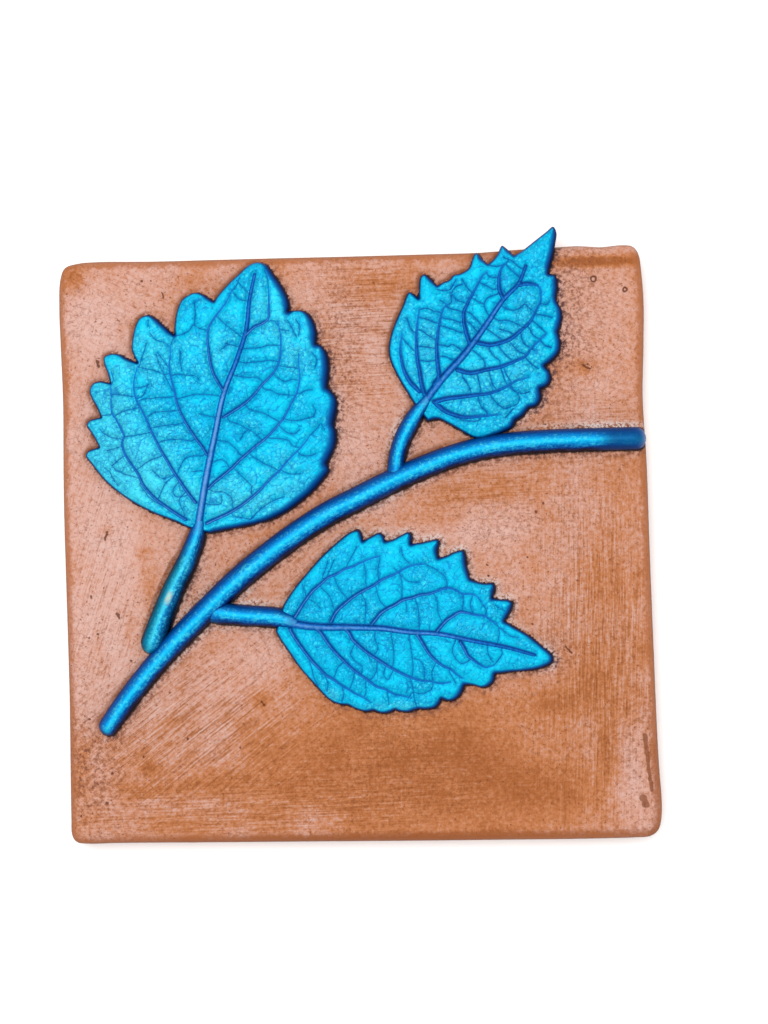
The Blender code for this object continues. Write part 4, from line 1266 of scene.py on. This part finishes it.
    # Painted shadow: a near-black line at the sprig's foot, wider and darker on its side away from the
    # light
    foot_reach = finish.ramp(lee, -0.6, 0.9, 0.45) + 0.12
    foot = 1.0 - finish.ramp((away + (speck - 0.5) * 0.9) / foot_reach, 0.35, 1.3)
    finish.lay(FOOT_SHADOW, foot * (finish.ramp(lee, -0.9, 0.3, 0.5) + 0.45))

    pitted = front * finish.deepest(finish.dots(PITS), finish.dots(BUBBLES, BUBBLE_HOLLOW),
                                    finish.scrapes(SCRAPES))
    finish.lay(PIT_BROWN, finish.ramp(pitted, 0.05, 0.55, 0.85))
    height = strokes * 1.1 + speck * 0.5 - crazed * 0.12 - pitted * 0.4
    return finish.done(Specular_IOR_Level=CLAY_SHEEN, Roughness=0.6,
                       Normal=finish.bump(height, CLAY_RELIEF, 1.0))


def pale_floor():
    finish = Finish("pale_floor")
    finish.colour = finish.mix(FLOOR_GREY, FLOOR_WHITE, finish.speckle(3.0, 2.0, 0.6))
    return finish.done(Roughness=0.9)


# Making

dress(tile_form(), washed_clay())

leaf_paint = pearl_blue_leaf()
for leaf_name, leaf in LEAVES.items():
    dress(leaf_form(leaf_name, leaf), leaf_paint)

stem_paint = pearl_blue_strip("pearl_blue_stem", shaded_ends=True)
dress(round_strip("main_stem", MAIN_STEM, STEM_HEIGHT), stem_paint)
stalk_paint = pearl_blue_strip("pearl_blue_stalk", into_leaf=True, from_stem=True)
teal_paint = pearl_blue_strip("pearl_teal_stalk", near_start=TEAL_SHADING_ACROSS, into_leaf=True)
for stalk_name, line in STALKS.items():
    its_paint = teal_paint if stalk_name == "stalk_left" else stalk_paint
    dress(round_strip(stalk_name, line, STALK_HEIGHT), its_paint)


# Stage

FLOOR_HALF_SIDE = 3.0
SOFTBOX_PLACE = (-0.16, 0.26, 1.42)     # metres, facing the tile
SOFTBOX_SIDE = 0.7
SOFTBOX_WATTS = 12.8

bm = bmesh.new()
bmesh.ops.create_grid(bm, x_segments=4, y_segments=4, size=FLOOR_HALF_SIDE)
bmesh.ops.translate(bm, verts=bm.verts, vec=(0.0, 0.0, -mm(FLOOR_GAP)))
floor = object_from(bm, "floor")
floor.data.materials.append(pale_floor())

lamp = bpy.data.lights.new("key_softbox", "AREA")
lamp.shape = "SQUARE"
lamp.size = SOFTBOX_SIDE
lamp.energy = SOFTBOX_WATTS
softbox = bpy.data.objects.new("key_softbox", lamp)
softbox.location = SOFTBOX_PLACE
softbox.rotation_euler = (-Vector(SOFTBOX_PLACE)).to_track_quat("-Z", "Y").to_euler()
bpy.context.collection.objects.link(softbox)

world = bpy.data.worlds.new("studio")
world.use_nodes = True
background = world.node_tree.nodes["Background"]
background.inputs["Color"].default_value = (1.0, 1.0, 1.0, 1.0)
background.inputs["Strength"].default_value = 1.0
bpy.context.scene.world = world
bpy.context.scene.view_settings.view_transform = "Standard"

lens = bpy.data.cameras.new("camera")
lens.sensor_width = CAMERA_SENSOR
lens.lens = CAMERA_SENSOR * CAMERA_HEIGHT / mm(PICTURE_SIZE[1] * PICTURE_POINT)
camera = bpy.data.objects.new("camera", lens)
over_x, over_y = on_face([(PICTURE_SIZE[0] / 2, PICTURE_SIZE[1] / 2)])[0]
camera.location = (mm(over_x), mm(over_y), TILE_THICKNESS + CAMERA_HEIGHT)
camera.rotation_euler = (0.0, 0.0, -PICTURE_TURN)
bpy.context.collection.objects.link(camera)
bpy.context.scene.camera = camera
